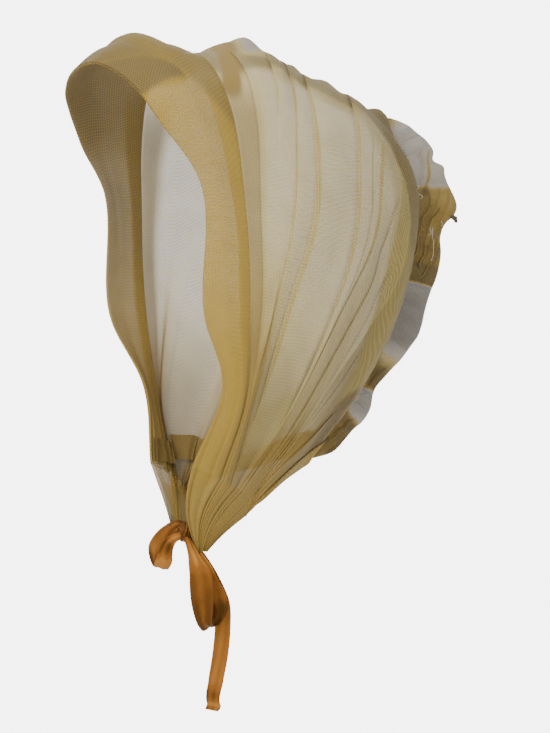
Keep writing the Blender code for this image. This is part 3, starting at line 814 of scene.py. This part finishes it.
def fan_grid(base, turn, number, alongs, offset, ripple):
    """A grid of folded cloth, one column for each base and one row for each place along."""
    column, row = grid(len(base), len(alongs))
    lift = np.broadcast_to(offset, len(base))[column]
    made = folded(base[column], turn[column], number[column], alongs[row], lift, ripple)
    return as_grid((len(base), len(alongs)), *made)


def turned(*parts):
    """The same grid with its columns the other way round, so that its faces look the other way."""
    return tuple(part[::-1] if np.ndim(part) else part for part in parts)


def crown_patch(run, share, middle, slant, width):
    """A patch across the crown, 1 in its middle, which slants forward away from the middle of the head."""
    return np.exp(-(((run - middle + slant * share) / width) ** 4))


def hood_paint(run, along, layers):
    """How many layers deep the hood looks, and its painted shading: painted shade and painted light."""
    share = np.abs(along)
    near = smooth_step(-0.02, 0.03, along)
    # Painted shadow of the band's rear edge on the hood beside it, which also looks denser there
    beside = smooth_step(BAND_RUN - 2, BAND_RUN + 3, run) * (1 - smooth_step(78, 98, run))
    beside = beside * smooth_step(0.16, 0.30, share)
    layers = layers + 1.2 * beside
    # The pale patch of painted light and the denser gold patch at the crown, and the painted shade round
    # them
    puff = crown_patch(run, share, 105, 80, 7.5) * (1 - smooth_step(0.09, 0.14, share))
    gold = crown_patch(run, share, 88, 83, 7.0) * (1 - smooth_step(0.21, 0.27, share))
    gold = gold * smooth_step(-0.06, -0.01, along)
    start = -0.02 - 0.12 * (1 - smooth_step(84, 104, run))
    over = (1 - smooth_step(0.165, 0.195, along)) * smooth_step(0, 0.05, along - start + 0.05)
    over = over * smooth_step(58, 66, run) * (1 - np.minimum(1, gold + puff))
    layers = layers + 2.6 * gold + 1.1 * puff + 0.4 * over
    # The rim beside the back seam, denser and with painted shade, and a denser line along it painted a
    # little lighter
    beyond = run - read_table(RIM, share[0])[None]
    rim = smooth_step(0, 3.0, beyond) * near * (1 - smooth_step(0.60, 0.90, share))
    line = np.exp(-((beyond / 1.6) ** 2)) * near * smooth_step(0.26, 0.34, share)
    layers = layers + (0.6 + 0.1 * smooth_step(0.25, 0.33, share)) * rim + 1.2 * line
    # The folds above the chin, the throat and the low back, denser and with painted shade, though the low
    # back is painted lighter on the far side and low down
    early = smooth_step(0.60, 0.84, share) * smooth_step(85, 125, run) * (1 - smooth_step(152, 196, run))
    drawn = smooth_step(0.88, 0.98, share) * smooth_step(120, 160, run)
    low = smooth_step(0, 14, run - 362 + 45 * smooth_step(0.66, 0.80, share))
    low = low * smooth_step(0.25, 0.40, share) * (1 - 0.65 * smooth_step(0.0, 0.1, -along))
    layers = layers + 0.5 * drawn + 0.9 * early + 3.0 * low
    # Painted shade that grows towards the back, where less light falls, deeper halfway down the sides and
    # less near the throat
    back = smooth_step(150, 200, run)
    dim = smooth_step(150, 240, run) * 0.42 - smooth_step(260, 340, run) * 0.08
    dim = dim + 0.20 * smooth_step(0.35, 0.55, share) * back - 0.16 * smooth_step(0.68, 0.84, share) * back
    tone = dim + (0.58 - 0.34 * smooth_step(0.22, 0.30, share)) * rim - 0.1 * line
    tone = tone + 0.42 * beside * (1 - 0.4 * smooth_step(0.5, 0.7, share)) + 0.06 * gold - 0.8 * puff
    tone = tone + 0.04 * drawn + 0.56 * early + 0.72 * over
    tone = tone + low * (0.85 * near * (1 - smooth_step(0.44, 0.54, share)) - 0.26)
    return layers, tone


class SCARF_OT_hood(bpy.types.Operator):
    """Make the single layer of net over the crown, sides and back, with its pleats"""

    bl_idname = "scarf.hood"
    bl_label = "Hood"

    def execute(self, context):
        ripple = context.scene.scarf_sizes.ripple / MM
        base, turn, number = pleat_columns(BAND_RUN - 3, FULL_RUN, HOOD_STEP)
        alongs = along_lines(HOOD_ROWS)
        points, layers = fan_grid(base, turn, number, alongs, 0.0, ripple)
        grids = [(points, *hood_paint(base[:, None], alongs[None], layers))]
        hood = new_piece("net_hood", ["hood"], grids, single_net())
        return {"FINISHED"}


def band_paint(run, along, inner):
    """How many layers are added to the band, and its painted shade. inner is true for its inner layer."""
    share = np.abs(along)
    strip = smooth_step(48, 50.5, run) * smooth_step(0.16, 0.34, share)
    # Painted shade: a dark zone near the top at the front of the outer layer, the far inner layer, the outer
    # top and the end by the throat
    above = along - 0.07 - 0.0042 * run
    shadow = smooth_step(-0.02, 0.02, above) * (1 - smooth_step(0.225, 0.255, along))
    shadow = shadow * (1 - smooth_step(34, 38, run)) * ~inner
    far = smooth_step(0.0, 0.12, -along) * inner
    top = (1 - smooth_step(-0.03, 0.03, above)) * (1 - smooth_step(0.30, 0.40, share)) * ~inner
    end = smooth_step(0.88, 0.97, along)
    tone = 0.24 * end + 0.95 * shadow + 0.72 * far * (1 - 0.6 * smooth_step(0.4, 0.7, share))
    tone = tone + 0.58 * top + 0.25 * top * (1 - smooth_step(15, 35, run))
    return 0.9 * strip, tone


class SCARF_OT_face_band(bpy.types.Operator):
    """Make the doubled band round the face, with its folded front edge and its deeper rear strip"""

    bl_idname = "scarf.face_band"
    bl_label = "Face band"

    def execute(self, context):
        sizes = context.scene.scarf_sizes
        outer = np.array(plain_lines(0, BAND_RUN, BAND_STEP) + [BAND_RUN], float)
        bend = np.linspace(0, math.pi, 9)[1:-1]
        base = np.concatenate([outer[::-1], 0.7 * (1 - np.sin(bend)), outer])
        open_share = np.sin(math.pi * np.clip(outer / BAND_RUN, 0, 1)) ** 0.7
        loft = 0.6 + 0.5 * sizes.band_loft / MM * open_share
        offset = np.concatenate([loft[::-1], 0.6 * np.cos(bend), -loft])
        alongs = along_lines(BAND_ROWS)
        points, layers = fan_grid(*unpleated(base), alongs, offset, sizes.ripple / MM)
        inner = (np.arange(len(base)) >= len(outer) + len(bend) // 2)[:, None]
        more, tone = band_paint(base[:, None], alongs[None], inner)
        grids = [turned(points, layers + more, tone)]
        band = new_piece("net_face_band", ["face_band"], grids, double_net())
        return {"FINISHED"}


class SCARF_OT_back_hem(bpy.types.Operator):
    """Make the doubled strip beside the back seam and the hem round the nape"""

    bl_idname = "scarf.back_hem"
    bl_label = "Back hem"

    def execute(self, context):
        ripple = context.scene.scarf_sizes.ripple / MM
        deep = np.array(plain_lines(HEM_RUN, FULL_RUN, HEM_STEP) + [FULL_RUN], float)
        bend = np.linspace(0, math.pi, 7)[1:-1]
        base = np.concatenate([deep, FULL_RUN - 0.5 * (1 - np.sin(bend)), deep[::-1]])
        offset = np.concatenate([np.full(len(deep), 0.7), 0.7 * np.cos(bend), np.full(len(deep), -0.7)])
        hem, hem_layers = fan_grid(*unpleated(base), along_lines(HEM_ROWS), offset, ripple)
        runs = np.array(plain_lines(SEAM_TOP_RUN, FULL_RUN - 1, SEAM_STEP) + [FULL_RUN - 1], float)
        wide = np.linspace(-SEAM_SHARE, SEAM_SHARE, SEAM_ROWS)
        column, row = grid(len(runs), len(wide))
        low = smooth_step(235, 310, runs)
        reach = wide[row] * (0.25 + 0.35 * low[column])
        middle = np.exp(-((reach / 0.03) ** 2))
        pucker = 0.4 * middle * np.sin(TURN * runs[column] / 6.5 + 0.8 * np.sin(runs[column] / 11))
        points, _ = folded(*unpleated(runs[column]), reach, 0.9 + pucker, ripple)
        low = low[:, None]
        # The seam strip and the hem are denser and carry painted shade, more on the low seam
        seam = (points.reshape(len(runs), len(wide), 3), 1.2 + 0.3 * low, 0.35 + 0.1 * low)
        grids = [(hem, hem_layers + 0.8, 0.30), seam]
        piece = new_piece("net_back_hem", ["back_hem"], grids, double_net())
        return {"FINISHED"}


def frill_points(run, way):
    """Points of the frill, with its layers and painted shading. way goes from its root on one side over its
    free edge, at 0, to the other side."""
    keys = np.array([row.run for row in FRILL], float)
    table = np.array([row[1:] for row in FRILL], float)
    height, puff, root, dense, layers, tone = spline(keys, table, run).T
    root_run = SEAM_TOP_RUN + 1 + (FULL_RUN - SEAM_TOP_RUN - 2) * run / keys[-1]
    foot, normal, _ = fan_frame(root_run, np.zeros(len(run)))
    lift, _ = crest(root_run, np.zeros(len(run)))
    out = 1 - np.abs(way) ** 1.9
    full = smooth_step(2.2, 2.8, layers)
    fine = (1 - 0.85 * full) * np.sin(TURN * run / 5.2 + 1.3 * np.sin(run / 9) + 1.5 * way)
    broad = np.sin(TURN * run / 13.0 + 2.0 * np.sin(run / 17) + 3.0 * way)
    inner = out * (1 - out) * 4
    point = foot + normal * (0.6 + 0.7 * lift * (1 - out) + (height + 0.6) * out)[:, None]
    side = 2.2 * way + 0.62 * puff * np.sin(math.pi * way)
    drawn = 1 - smooth_step(0.5 * root, root, height * out)
    outward = np.sign(way)
    fluted = (0.9 * drawn + 0.35) * fine * inner * smooth_step(0.20, 0.55, out) * outward
    side += fluted + 0.9 * broad * inner * outward
    side += 1.6 * np.sin(TURN * run / 41 + 0.6) * out
    point[:, 0] += side
    point[:, 2] += 1.1 * (1 - 0.8 * full) * np.sin(TURN * run / 8.7 + 2.2 * way) * inner
    stand = height * out
    strand = np.sin(TURN * (stand + 0.24 * run) / 7.0 + 0.4 * np.sin(run / 11))
    strand += 0.6 * np.sin(TURN * (stand + 0.33 * run) / 3.6 + 0.4 * np.sin(run / 6.0) + 2.0)
    tight = smooth_step(2.2, 2.8, layers + (dense - layers) * drawn) * smooth_step(0.25, 0.60, out)
    point[:, 0] += 0.5 * strand * inner * tight * outward
    # Painted shade in the creases between the strands and painted light on their ridges
    crease = smooth_step(0.1, 1.3, strand) * tight
    ridge = smooth_step(0.2, 1.3, -strand) * tight
    deep = layers + (dense - layers) * drawn + 0.7 * crease
    # Painted shade where the frill is drawn in at its root
    shade = tone + (0.52 + 0.28 * smooth_step(2.9, 3.5, dense) - tone) * drawn
    # A dark line where the frill parts: denser net with painted shade
    split = (stand - 19.1 + 0.444 * (run - 27)) / 1.4
    split = np.exp(-split * split) * smooth_step(24, 28, run) * (1 - smooth_step(44, 50, run))
    return point, np.clip(deep + 1.3 * split, 1, 4.5), shade + 0.85 * split + 0.26 * crease - 0.22 * ridge


class SCARF_OT_back_frill(bpy.types.Operator):
    """Make the puffed frill that stands along the back seam, with its tuft"""

    bl_idname = "scarf.back_frill"
    bl_label = "Back frill"

    def execute(self, context):
        runs = np.linspace(0, FRILL[-1].run, FRILL_COLUMNS)
        ways = np.sin(np.linspace(-0.5, 0.5, FRILL_ROWS) * math.pi)
        column, row = grid(len(runs), len(ways))
        grids = [as_grid((len(runs), len(ways)), *frill_points(runs[column], ways[row]))]
        frill = new_piece("net_back_frill", ["back_frill"], grids, single_net())
        return {"FINISHED"}


def gather_points(gather, base, inner, drop):
    """Points of a chin gather, from the throat, where drop is 0, to its tip."""
    mirror = np.array((gather.side, 1, 1), float)
    front = np.array(gather.tip_front) * mirror
    hem = np.array(gather.tip_hem) * mirror
    across = base / FULL_RUN
    side = np.full(len(base), float(gather.side))
    top, layers = folded(*unpleated(base), side, 0.0, 0.0)
    _, normal, _ = fan_frame(base, side)
    tip = front + (hem - front) * across[:, None]
    middle = top + (tip - top) * drop[:, None]
    middle[:, 0] -= gather.side * 3.0 * np.sin(math.pi * drop)
    middle[:, 1] -= gather.bulge * np.sin(math.pi * drop) * (1 - across)
    phase = gather_turn(base)
    deep = 5.0 * drop**0.8 * np.sin(math.pi * np.clip(across, 0.03, 0.97)) ** 0.6
    fold = 0.6 * (0.5 - 0.5 * np.cos(phase)) * smooth_step(0, 0.35, drop) * (1 - 0.4 * drop)
    apart = 0.1 + 0.6 * (base < BAND_RUN)
    lift = np.where(inner, -0.5 * deep - fold - apart, 0.5 * deep + fold + apart)
    return middle + normal * lift[:, None], layers + 1.4 * drop


def gather_paint(gather, base, drop, inner, layers):
    """How many layers deep a chin gather looks, and its painted shading: painted shade on the near one,
    fading towards its tip, and a little painted light on the far one.
    """
    layers = 1 + (layers - 1) * np.where(inner, smooth_step(0.0, 0.4, drop), 1)
    if gather.side < 0:
        return np.maximum(1, layers - 0.8), np.full(len(base), -0.12)
    # Painted shade, deeper towards the back and at the band's end
    tone = 0.40 * smooth_step(150, 240, base) + 0.12 * smooth_step(120, 160, base)
    tone += 0.36 * smooth_step(85, 125, base) * (1 - smooth_step(165, 215, base))
    tone += 0.38 * (1 - smooth_step(60, 110, base))
    return layers, 0.08 + (tone - 0.08) * (1 - drop)


def lap_grid(lap):
    """The end of the band where it laps inside the far corner, from its top to its lower edge."""
    column, row = grid(LAP_COLUMNS, LAP_ROWS)
    base = np.linspace(0, lap, LAP_COLUMNS)[column]
    way = np.linspace(0, 1, LAP_ROWS)[row]
    top = -0.948 + 0.31 * base / 1000
    low = -1.0 + 0.286 * base / 1000
    along = top + (low - top) * way
    offset = -2.6 + 0.5 * np.sin(TURN * base / 47) * way
    points, _ = folded(*unpleated(base), along, offset, 0.0)
    # The lapped end is denser and carries painted shade
    return points.reshape(LAP_COLUMNS, LAP_ROWS, 3), 2.6, 0.62


class SCARF_OT_chin_gathers(bpy.types.Operator):
    """Make the two gathered corners beside the chin"""

    bl_idname = "scarf.chin_gathers"
    bl_label = "Chin gathers"

    def execute(self, context):
        half = np.linspace(0, FULL_RUN, GATHER_COLUMNS)
        base = np.concatenate([half, half[::-1]])
        drops = np.linspace(0, 1, GATHER_ROWS)
        column, row = grid(len(base), len(drops))
        run, drop, inner = base[column], drops[row], column >= len(half)
        for gather in GATHERS:
            points, layers = gather_points(gather, run, inner, drop)
            layers, tone = gather_paint(gather, run, drop, inner, layers)
            made = as_grid((len(base), len(drops)), points, layers, tone)
            grids = [made if gather.side > 0 else turned(*made)]
            if gather.lap:
                grids.append(lap_grid(gather.lap))
            piece = new_piece(gather.name, [gather.node], grids, double_net())
        return {"FINISHED"}


def strip_points(rows, steps, cup, crease, seed):
    """A ribbon along a smooth line through the rows' places, with a curl across it and creases along it, and
    its painted shading: the rows' painted light and shade, more painted shade and light along the creases
    and a painted highlight down the middle."""
    places = np.array([row.place for row in rows], float)
    table = np.array([row.place + row.across + (row.width, row.tone) for row in rows], float)
    keys = np.concatenate([[0], np.cumsum(np.linalg.norm(np.diff(places, axis=0), axis=1))])
    values = spline(keys, table, np.linspace(0, keys[-1], steps + 1))
    across = unit(values[:, 3:6])
    ahead = unit(np.gradient(values[:, :3], axis=0))
    normal = unit(np.cross(across, ahead))
    share = np.linspace(-1, 1, RIBBON_ROWS)
    width = values[:, 6]
    widest = width.max()
    points = values[:, None, :3] + across[:, None] * (share[None, :, None] * width[:, None, None] / 2)
    way = np.linspace(0, 1, steps + 1)[:, None]
    narrow = np.clip(1 - width / widest, 0, 1)[:, None]
    bow = cup * (1 - share[None] ** 2) * np.cos(TURN * way * 0.9 + seed)
    fine = np.sin(share[None] * 6.0 + 1.1 * np.sin(7 * way + seed))
    wave = 0.35 * np.sin(TURN * way * 3.1 + seed + 1.8 * share[None])
    lift = bow + crease * fine * (0.10 + 1.5 * narrow) + wave * 0.6
    # Painted shade and light along the creases, and a painted highlight down the middle of the ribbon
    tone = values[:, 7:8] + (0.10 + 0.4 * narrow) * fine - 0.20 * (1 - share[None] ** 2)
    return points + normal[:, None] * lift[:, :, None], tone


def knot_wraps():
    """The strips that cross over the knot, as grids of points, and their painted shading: painted shade,
    lighter on one side of each wrap and in bands across it.
    """
    turn = np.linspace(0, TURN, KNOT_COLUMNS)[:, None]
    share = np.linspace(-1, 1, RIBBON_ROWS)[None]
    toward, right, rise = np.array(((0.90, -0.44, 0.0), (0.44, 0.90, 0.0), (0.0, 0.0, 1.0)))
    wraps = []
    for wrap in WRAPS:
        ring_up = rise * math.cos(wrap.tilt) + right * math.sin(wrap.tilt)
        ring_side = right * math.cos(wrap.tilt) - rise * math.sin(wrap.tilt)
        pinch = 1 - 0.35 * np.cos(turn - wrap.seed) ** 2
        bulge = 1 - 0.30 * share**2 + 0.06 * np.sin(10 * share + 2 * turn + wrap.seed)
        along = (np.cos(turn) * bulge)[:, :, None] * toward + (np.sin(turn) * bulge)[:, :, None] * ring_up
        spread = (share * pinch * wrap.width / 2)[:, :, None] * ring_side
        # Painted shade over the knot, lighter on one side of each wrap and in bands across it
        tone = 1.0 - 0.4 * np.cos(turn - 0.6) * (1 - share**2) + 0.35 * np.sin(9 * share + turn)
        place = np.array(KNOT_PLACE) + right * wrap.aside + rise * wrap.above
        wraps.append((place + wrap.grow * along * KNOT_RADIUS * KNOT_PUFF + spread, tone))
    return wraps


def new_ribbon(name, node, grids):
    made = [(points, 1.0, tone) for points, tone in grids]
    finish = finish_named("Orange satin", satin_material)
    ribbon = new_piece(name, [node], made, finish)
    apply_modifier(ribbon, "SOLIDIFY", thickness=bpy.context.scene.scarf_sizes.ribbon, offset=0.0)
    apply_modifier(ribbon, "SUBSURF", levels=1, render_levels=1)


class SCARF_OT_ribbon(bpy.types.Operator):
    """Make the satin ribbon's knot, its two loops and its hanging end"""

    bl_idname = "scarf.ribbon"
    bl_label = "Ribbon"

    def execute(self, context):
        new_ribbon("satin_knot", "ribbon_knot", knot_wraps())
        near = strip_points(NEAR_LOOP, 150, 0.7, 0.5, 0.4)
        new_ribbon("satin_loop_near", "ribbon_loop_near", [near])
        far = strip_points(FAR_LOOP, 110, 0.6, 0.45, 2.0)
        new_ribbon("satin_loop_far", "ribbon_loop_far", [far])
        tail = strip_points(TAIL, 130, 0.5, 0.35, 1.1)
        new_ribbon("satin_tail", "ribbon_tail", [tail])
        return {"FINISHED"}


def tube(points, radius, sides=8):
    """A tube along the points, drawn in at its ends, as a grid whose last row meets its first."""
    ahead = unit(np.gradient(points, axis=0))
    start = np.array((0.31, 0.17, 0.93))
    first = unit(np.cross(ahead, start))
    second = np.cross(ahead, first)
    turn = np.linspace(0, TURN, sides + 1)
    ends = np.ones(len(points))
    ends[[0, -1]] = 0.15
    ring = first[:, None] * np.cos(turn)[None, :, None] + second[:, None] * np.sin(turn)[None, :, None]
    return points[:, None] + ring * (radius * ends)[:, None, None]


def stitch_line(run, along, offset, length):
    """Stitches along a line on the cloth, as small tubes."""
    run, along = np.broadcast_arrays(run, along)
    point, normal, _ = fan_frame(run, along)
    point = point + normal * offset
    way = np.concatenate([[0], np.cumsum(np.linalg.norm(np.diff(point, axis=0), axis=1))])
    made = []
    for start in np.arange(0.5 * STITCH_PITCH, way[-1] - STITCH_PITCH, STITCH_PITCH):
        at = start + length * np.array((0.0, 0.2, 0.5, 0.8, 1.0))
        middle = np.stack([np.interp(at, way, point[:, k]) for k in range(3)], axis=1)
        up = np.stack([np.interp(at, way, normal[:, k]) for k in range(3)], axis=1)
        middle += up * np.array((-0.25, 0.12, 0.22, 0.12, -0.25))[:, None]
        made.append(tube(middle, STITCH_RADIUS, 5))
    return made


def frill_line(thread, share, sway):
    """A line over the frill from one end of a thread to the other. share is the way along it, and sway
    moves it over the frill."""
    run = thread.first + (thread.last - thread.first) * share
    points, _, _ = frill_points(run, thread.start + (thread.end - thread.start) * share + sway)
    return points


def cut_strand(number, share):
    """One strand of the dark cut end, which spreads from the others towards its tip."""
    aside = 0.35 * math.sin(2.1 * number)
    middle = spline(np.arange(len(CUT_END)), np.array(CUT_END, float), 3 * share)
    middle += (aside, 0.5 * (number - 1.5) * aside, 0) * np.ones((len(share), 1))
    middle[:, 2] += 0.9 * (number - 1.5) * share**2
    return tube(middle, CUT_RADIUS)


def thread_piece(name, tubes, finish, colour):
    material = finish_named(finish, thread_material, tuple(colour))
    new_piece(name, [], [(points, 1.0, 0.0) for points in tubes], material)


class SCARF_OT_threads(bpy.types.Operator):
    """Make the rows of stitches and the pale gathering thread in the frill"""

    bl_idname = "scarf.threads"
    bl_label = "Threads"

    def execute(self, context):
        length = context.scene.scarf_sizes.stitch / MM
        colours = context.scene.scarf_colours
        around = np.linspace(-0.97, 0.97, 900)
        down = np.linspace(SEAM_TOP_RUN + 2, HEM_RUN, 400)
        stitches = stitch_line(BAND_RUN - 1.6, around, 1.0, length)
        stitches += stitch_line(HEM_RUN + 1.5, around, 0.95, length)
        for edge in (-0.94 * SEAM_SHARE, 0.94 * SEAM_SHARE):
            stitches += stitch_line(down, edge, 1.15, length)
        thread_piece("thread_stitches", stitches, "Gold thread", colours.net_deep)
        floats = []
        share = np.linspace(0, 1, 40)
        for thread in FLOATS:
            middle = frill_line(thread, share, 0.012 * np.sin(TURN * 1.3 * share))
            middle[:, 0] += 1.2 + 1.5 * np.sin(math.pi * share)
            floats.append(tube(middle, FLOAT_RADIUS))
        thread_piece("thread_gathering", floats, "Pale thread", colours.thread)
        strands = []
        share = np.linspace(0, 1, 60)
        for number, thread in enumerate(STRANDS):
            middle = frill_line(thread, share, 0)
            middle[:, 0] += 0.8 + 0.8 * np.sin(math.pi * share)
            strands.append(tube(middle, 0.30 + 0.08 * (number % 2)))
        thread_piece("thread_strands", strands, "Gold thread", colours.net_deep)
        cut = [cut_strand(number, share) for number in range(CUT_STRANDS)]
        thread_piece("thread_cut_end", cut, "Dark thread", colours.net_dark)
        return {"FINISHED"}


def look_at(obj, target):
    aim = Vector(target) - obj.location
    obj.rotation_euler = aim.to_track_quat("-Z", "Y").to_euler()


def view_axes():
    """The photo's right and the way towards its camera."""
    right = Vector((math.cos(VIEW_TURN), math.sin(VIEW_TURN), 0))
    toward = Vector((math.sin(VIEW_TURN), -math.cos(VIEW_TURN), 0))
    return right, toward


def seen_directly(shader):
    """1 for what the camera sees with nothing in front, 0 for light and for what shows through the net."""
    path = shader.node("ShaderNodeLightPath")
    clear = shader.out(path, "Transparent Depth").maths("LESS_THAN", 0.5)
    return shader.out(path, "Is Camera Ray") * clear


def floor_material(colour):
    shader = Shader("Studio floor")
    where = shader.node("ShaderNodeTexCoord")
    grain = shader.noise(shader.out(where, "Object"), 40.0)
    shade = shader.mix(grain * 0.2, colour, tuple(0.97 * c for c in colour))
    shader.set(Base_Color=shade, Roughness=0.9, Specular_IOR_Level=0.1)
    clear = seen_directly(shader)
    lit = shader.out(shader.surface)
    glow = shader.node("ShaderNodeEmission", Color=(1, 1, 1), Strength=FLOOR_GLOW * SEEN_LIGHT)
    both = shader.node("ShaderNodeMixShader", _0=clear * 0.9, _1=lit, _2=shader.out(glow))
    shader.put(shader.tree.nodes["Material Output"].inputs["Surface"], shader.out(both))
    return shader.material


def add_lamp(lamp, right, toward, up):
    aim = Vector(LAMP_AIM)
    place = toward * lamp.toward + right * lamp.right + up * lamp.up
    bpy.ops.object.light_add(type="AREA", location=aim + place)
    light = bpy.context.object
    light.name = lamp.name
    light.data.shape = "DISK"
    light.data.size = lamp.size
    light.data.energy = lamp.power
    light.data.color = lamp.colour
    look_at(light, aim)


def mixed(tree, share, first, second):
    """Output of a shader that mixes two others in the world's nodes."""
    made = tree.nodes.new("ShaderNodeMixShader")
    for place, socket in enumerate((share, first, second)):
        tree.links.new(socket, made.inputs[place])
    return made.outputs[0]


def plain_room():
    """A white world, with its own strength for light, for what shows through the net and for open ground."""
    world = bpy.data.worlds.new("Studio")
    world.use_nodes = True
    tree = world.node_tree
    path = tree.nodes.new("ShaderNodeLightPath")
    clear = tree.nodes.new("ShaderNodeMath")
    clear.operation = "LESS_THAN"
    tree.links.new(path.outputs["Transparent Depth"], clear.inputs[0])
    clear.inputs[1].default_value = 0.5
    room = []
    for strength in (ROOM_LIGHT, BEHIND_LIGHT, SEEN_LIGHT):
        made = tree.nodes.new("ShaderNodeBackground")
        made.inputs["Color"].default_value = (1, 1, 1, 1)
        made.inputs["Strength"].default_value = strength
        room.append(made.outputs[0])
    seen = mixed(tree, clear.outputs[0], room[1], room[2])
    surface = mixed(tree, path.outputs["Is Camera Ray"], room[0], seen)
    tree.links.new(surface, tree.nodes["World Output"].inputs["Surface"])
    return world


class SCARF_OT_stage(bpy.types.Operator):
    """Make the pale floor, the soft lights and the camera"""

    bl_idname = "scarf.stage"
    bl_label = "Stage"

    def execute(self, context):
        bpy.ops.object.select_all(action="DESELECT")
        place = (0, 0, FLOOR_HEIGHT)
        bpy.ops.mesh.primitive_circle_add(vertices=96, radius=FLOOR_RADIUS, fill_type="NGON", location=place)
        floor = context.object
        floor.name = "studio_floor"
        floor.data.materials.append(floor_material(tuple(context.scene.scarf_colours.floor)))
        right, toward = view_axes()
        up = Vector((0, 0, 1))
        for lamp in LAMPS:
            add_lamp(lamp, right, toward, up)
        context.scene.world = plain_room()
        aim = right * CAMERA_SHIFT + up * CAMERA_HEIGHT
        bpy.ops.object.camera_add(location=aim + toward * CAMERA_DISTANCE)
        camera = context.object
        camera.name = "camera"
        camera.data.lens = CAMERA_LENS
        camera.data.sensor_fit = "HORIZONTAL"
        camera.data.dof.use_dof = False
        look_at(camera, aim)
        context.scene.camera = camera
        return {"FINISHED"}


class SCARF_PT_panel(bpy.types.Panel):
    """Sizes, colours and pieces of the scarf"""

    bl_idname = "SCARF_PT_panel"
    bl_label = "Net head scarf"
    bl_space_type = "VIEW_3D"
    bl_region_type = "UI"
    bl_category = "Scarf"

    def draw(self, context):
        for group in (context.scene.scarf_sizes, context.scene.scarf_colours):
            box = self.layout.box()
            for name in group.__annotations__:
                box.prop(group, name)
        for operator in OPERATORS:
            self.layout.operator(operator.bl_idname)


OPERATORS = (
    SCARF_OT_face_band,
    SCARF_OT_hood,
    SCARF_OT_back_hem,
    SCARF_OT_back_frill,
    SCARF_OT_chin_gathers,
    SCARF_OT_ribbon,
    SCARF_OT_threads,
    SCARF_OT_stage,
)
CLASSES = (ScarfSizes, ScarfColours) + OPERATORS + (SCARF_PT_panel,)


def register():
    for item in CLASSES:
        bpy.utils.register_class(item)
    bpy.types.Scene.scarf_sizes = bpy.props.PointerProperty(type=ScarfSizes)
    bpy.types.Scene.scarf_colours = bpy.props.PointerProperty(type=ScarfColours)


def unregister():
    del bpy.types.Scene.scarf_colours
    del bpy.types.Scene.scarf_sizes
    for item in reversed(CLASSES):
        bpy.utils.unregister_class(item)


def main():
    register()
    bpy.ops.scarf.face_band()
    bpy.ops.scarf.hood()
    bpy.ops.scarf.back_hem()
    bpy.ops.scarf.back_frill()
    bpy.ops.scarf.chin_gathers()
    bpy.ops.scarf.ribbon()
    bpy.ops.scarf.threads()
    bpy.ops.scarf.stage()


if __name__ == "__main__":
    main()
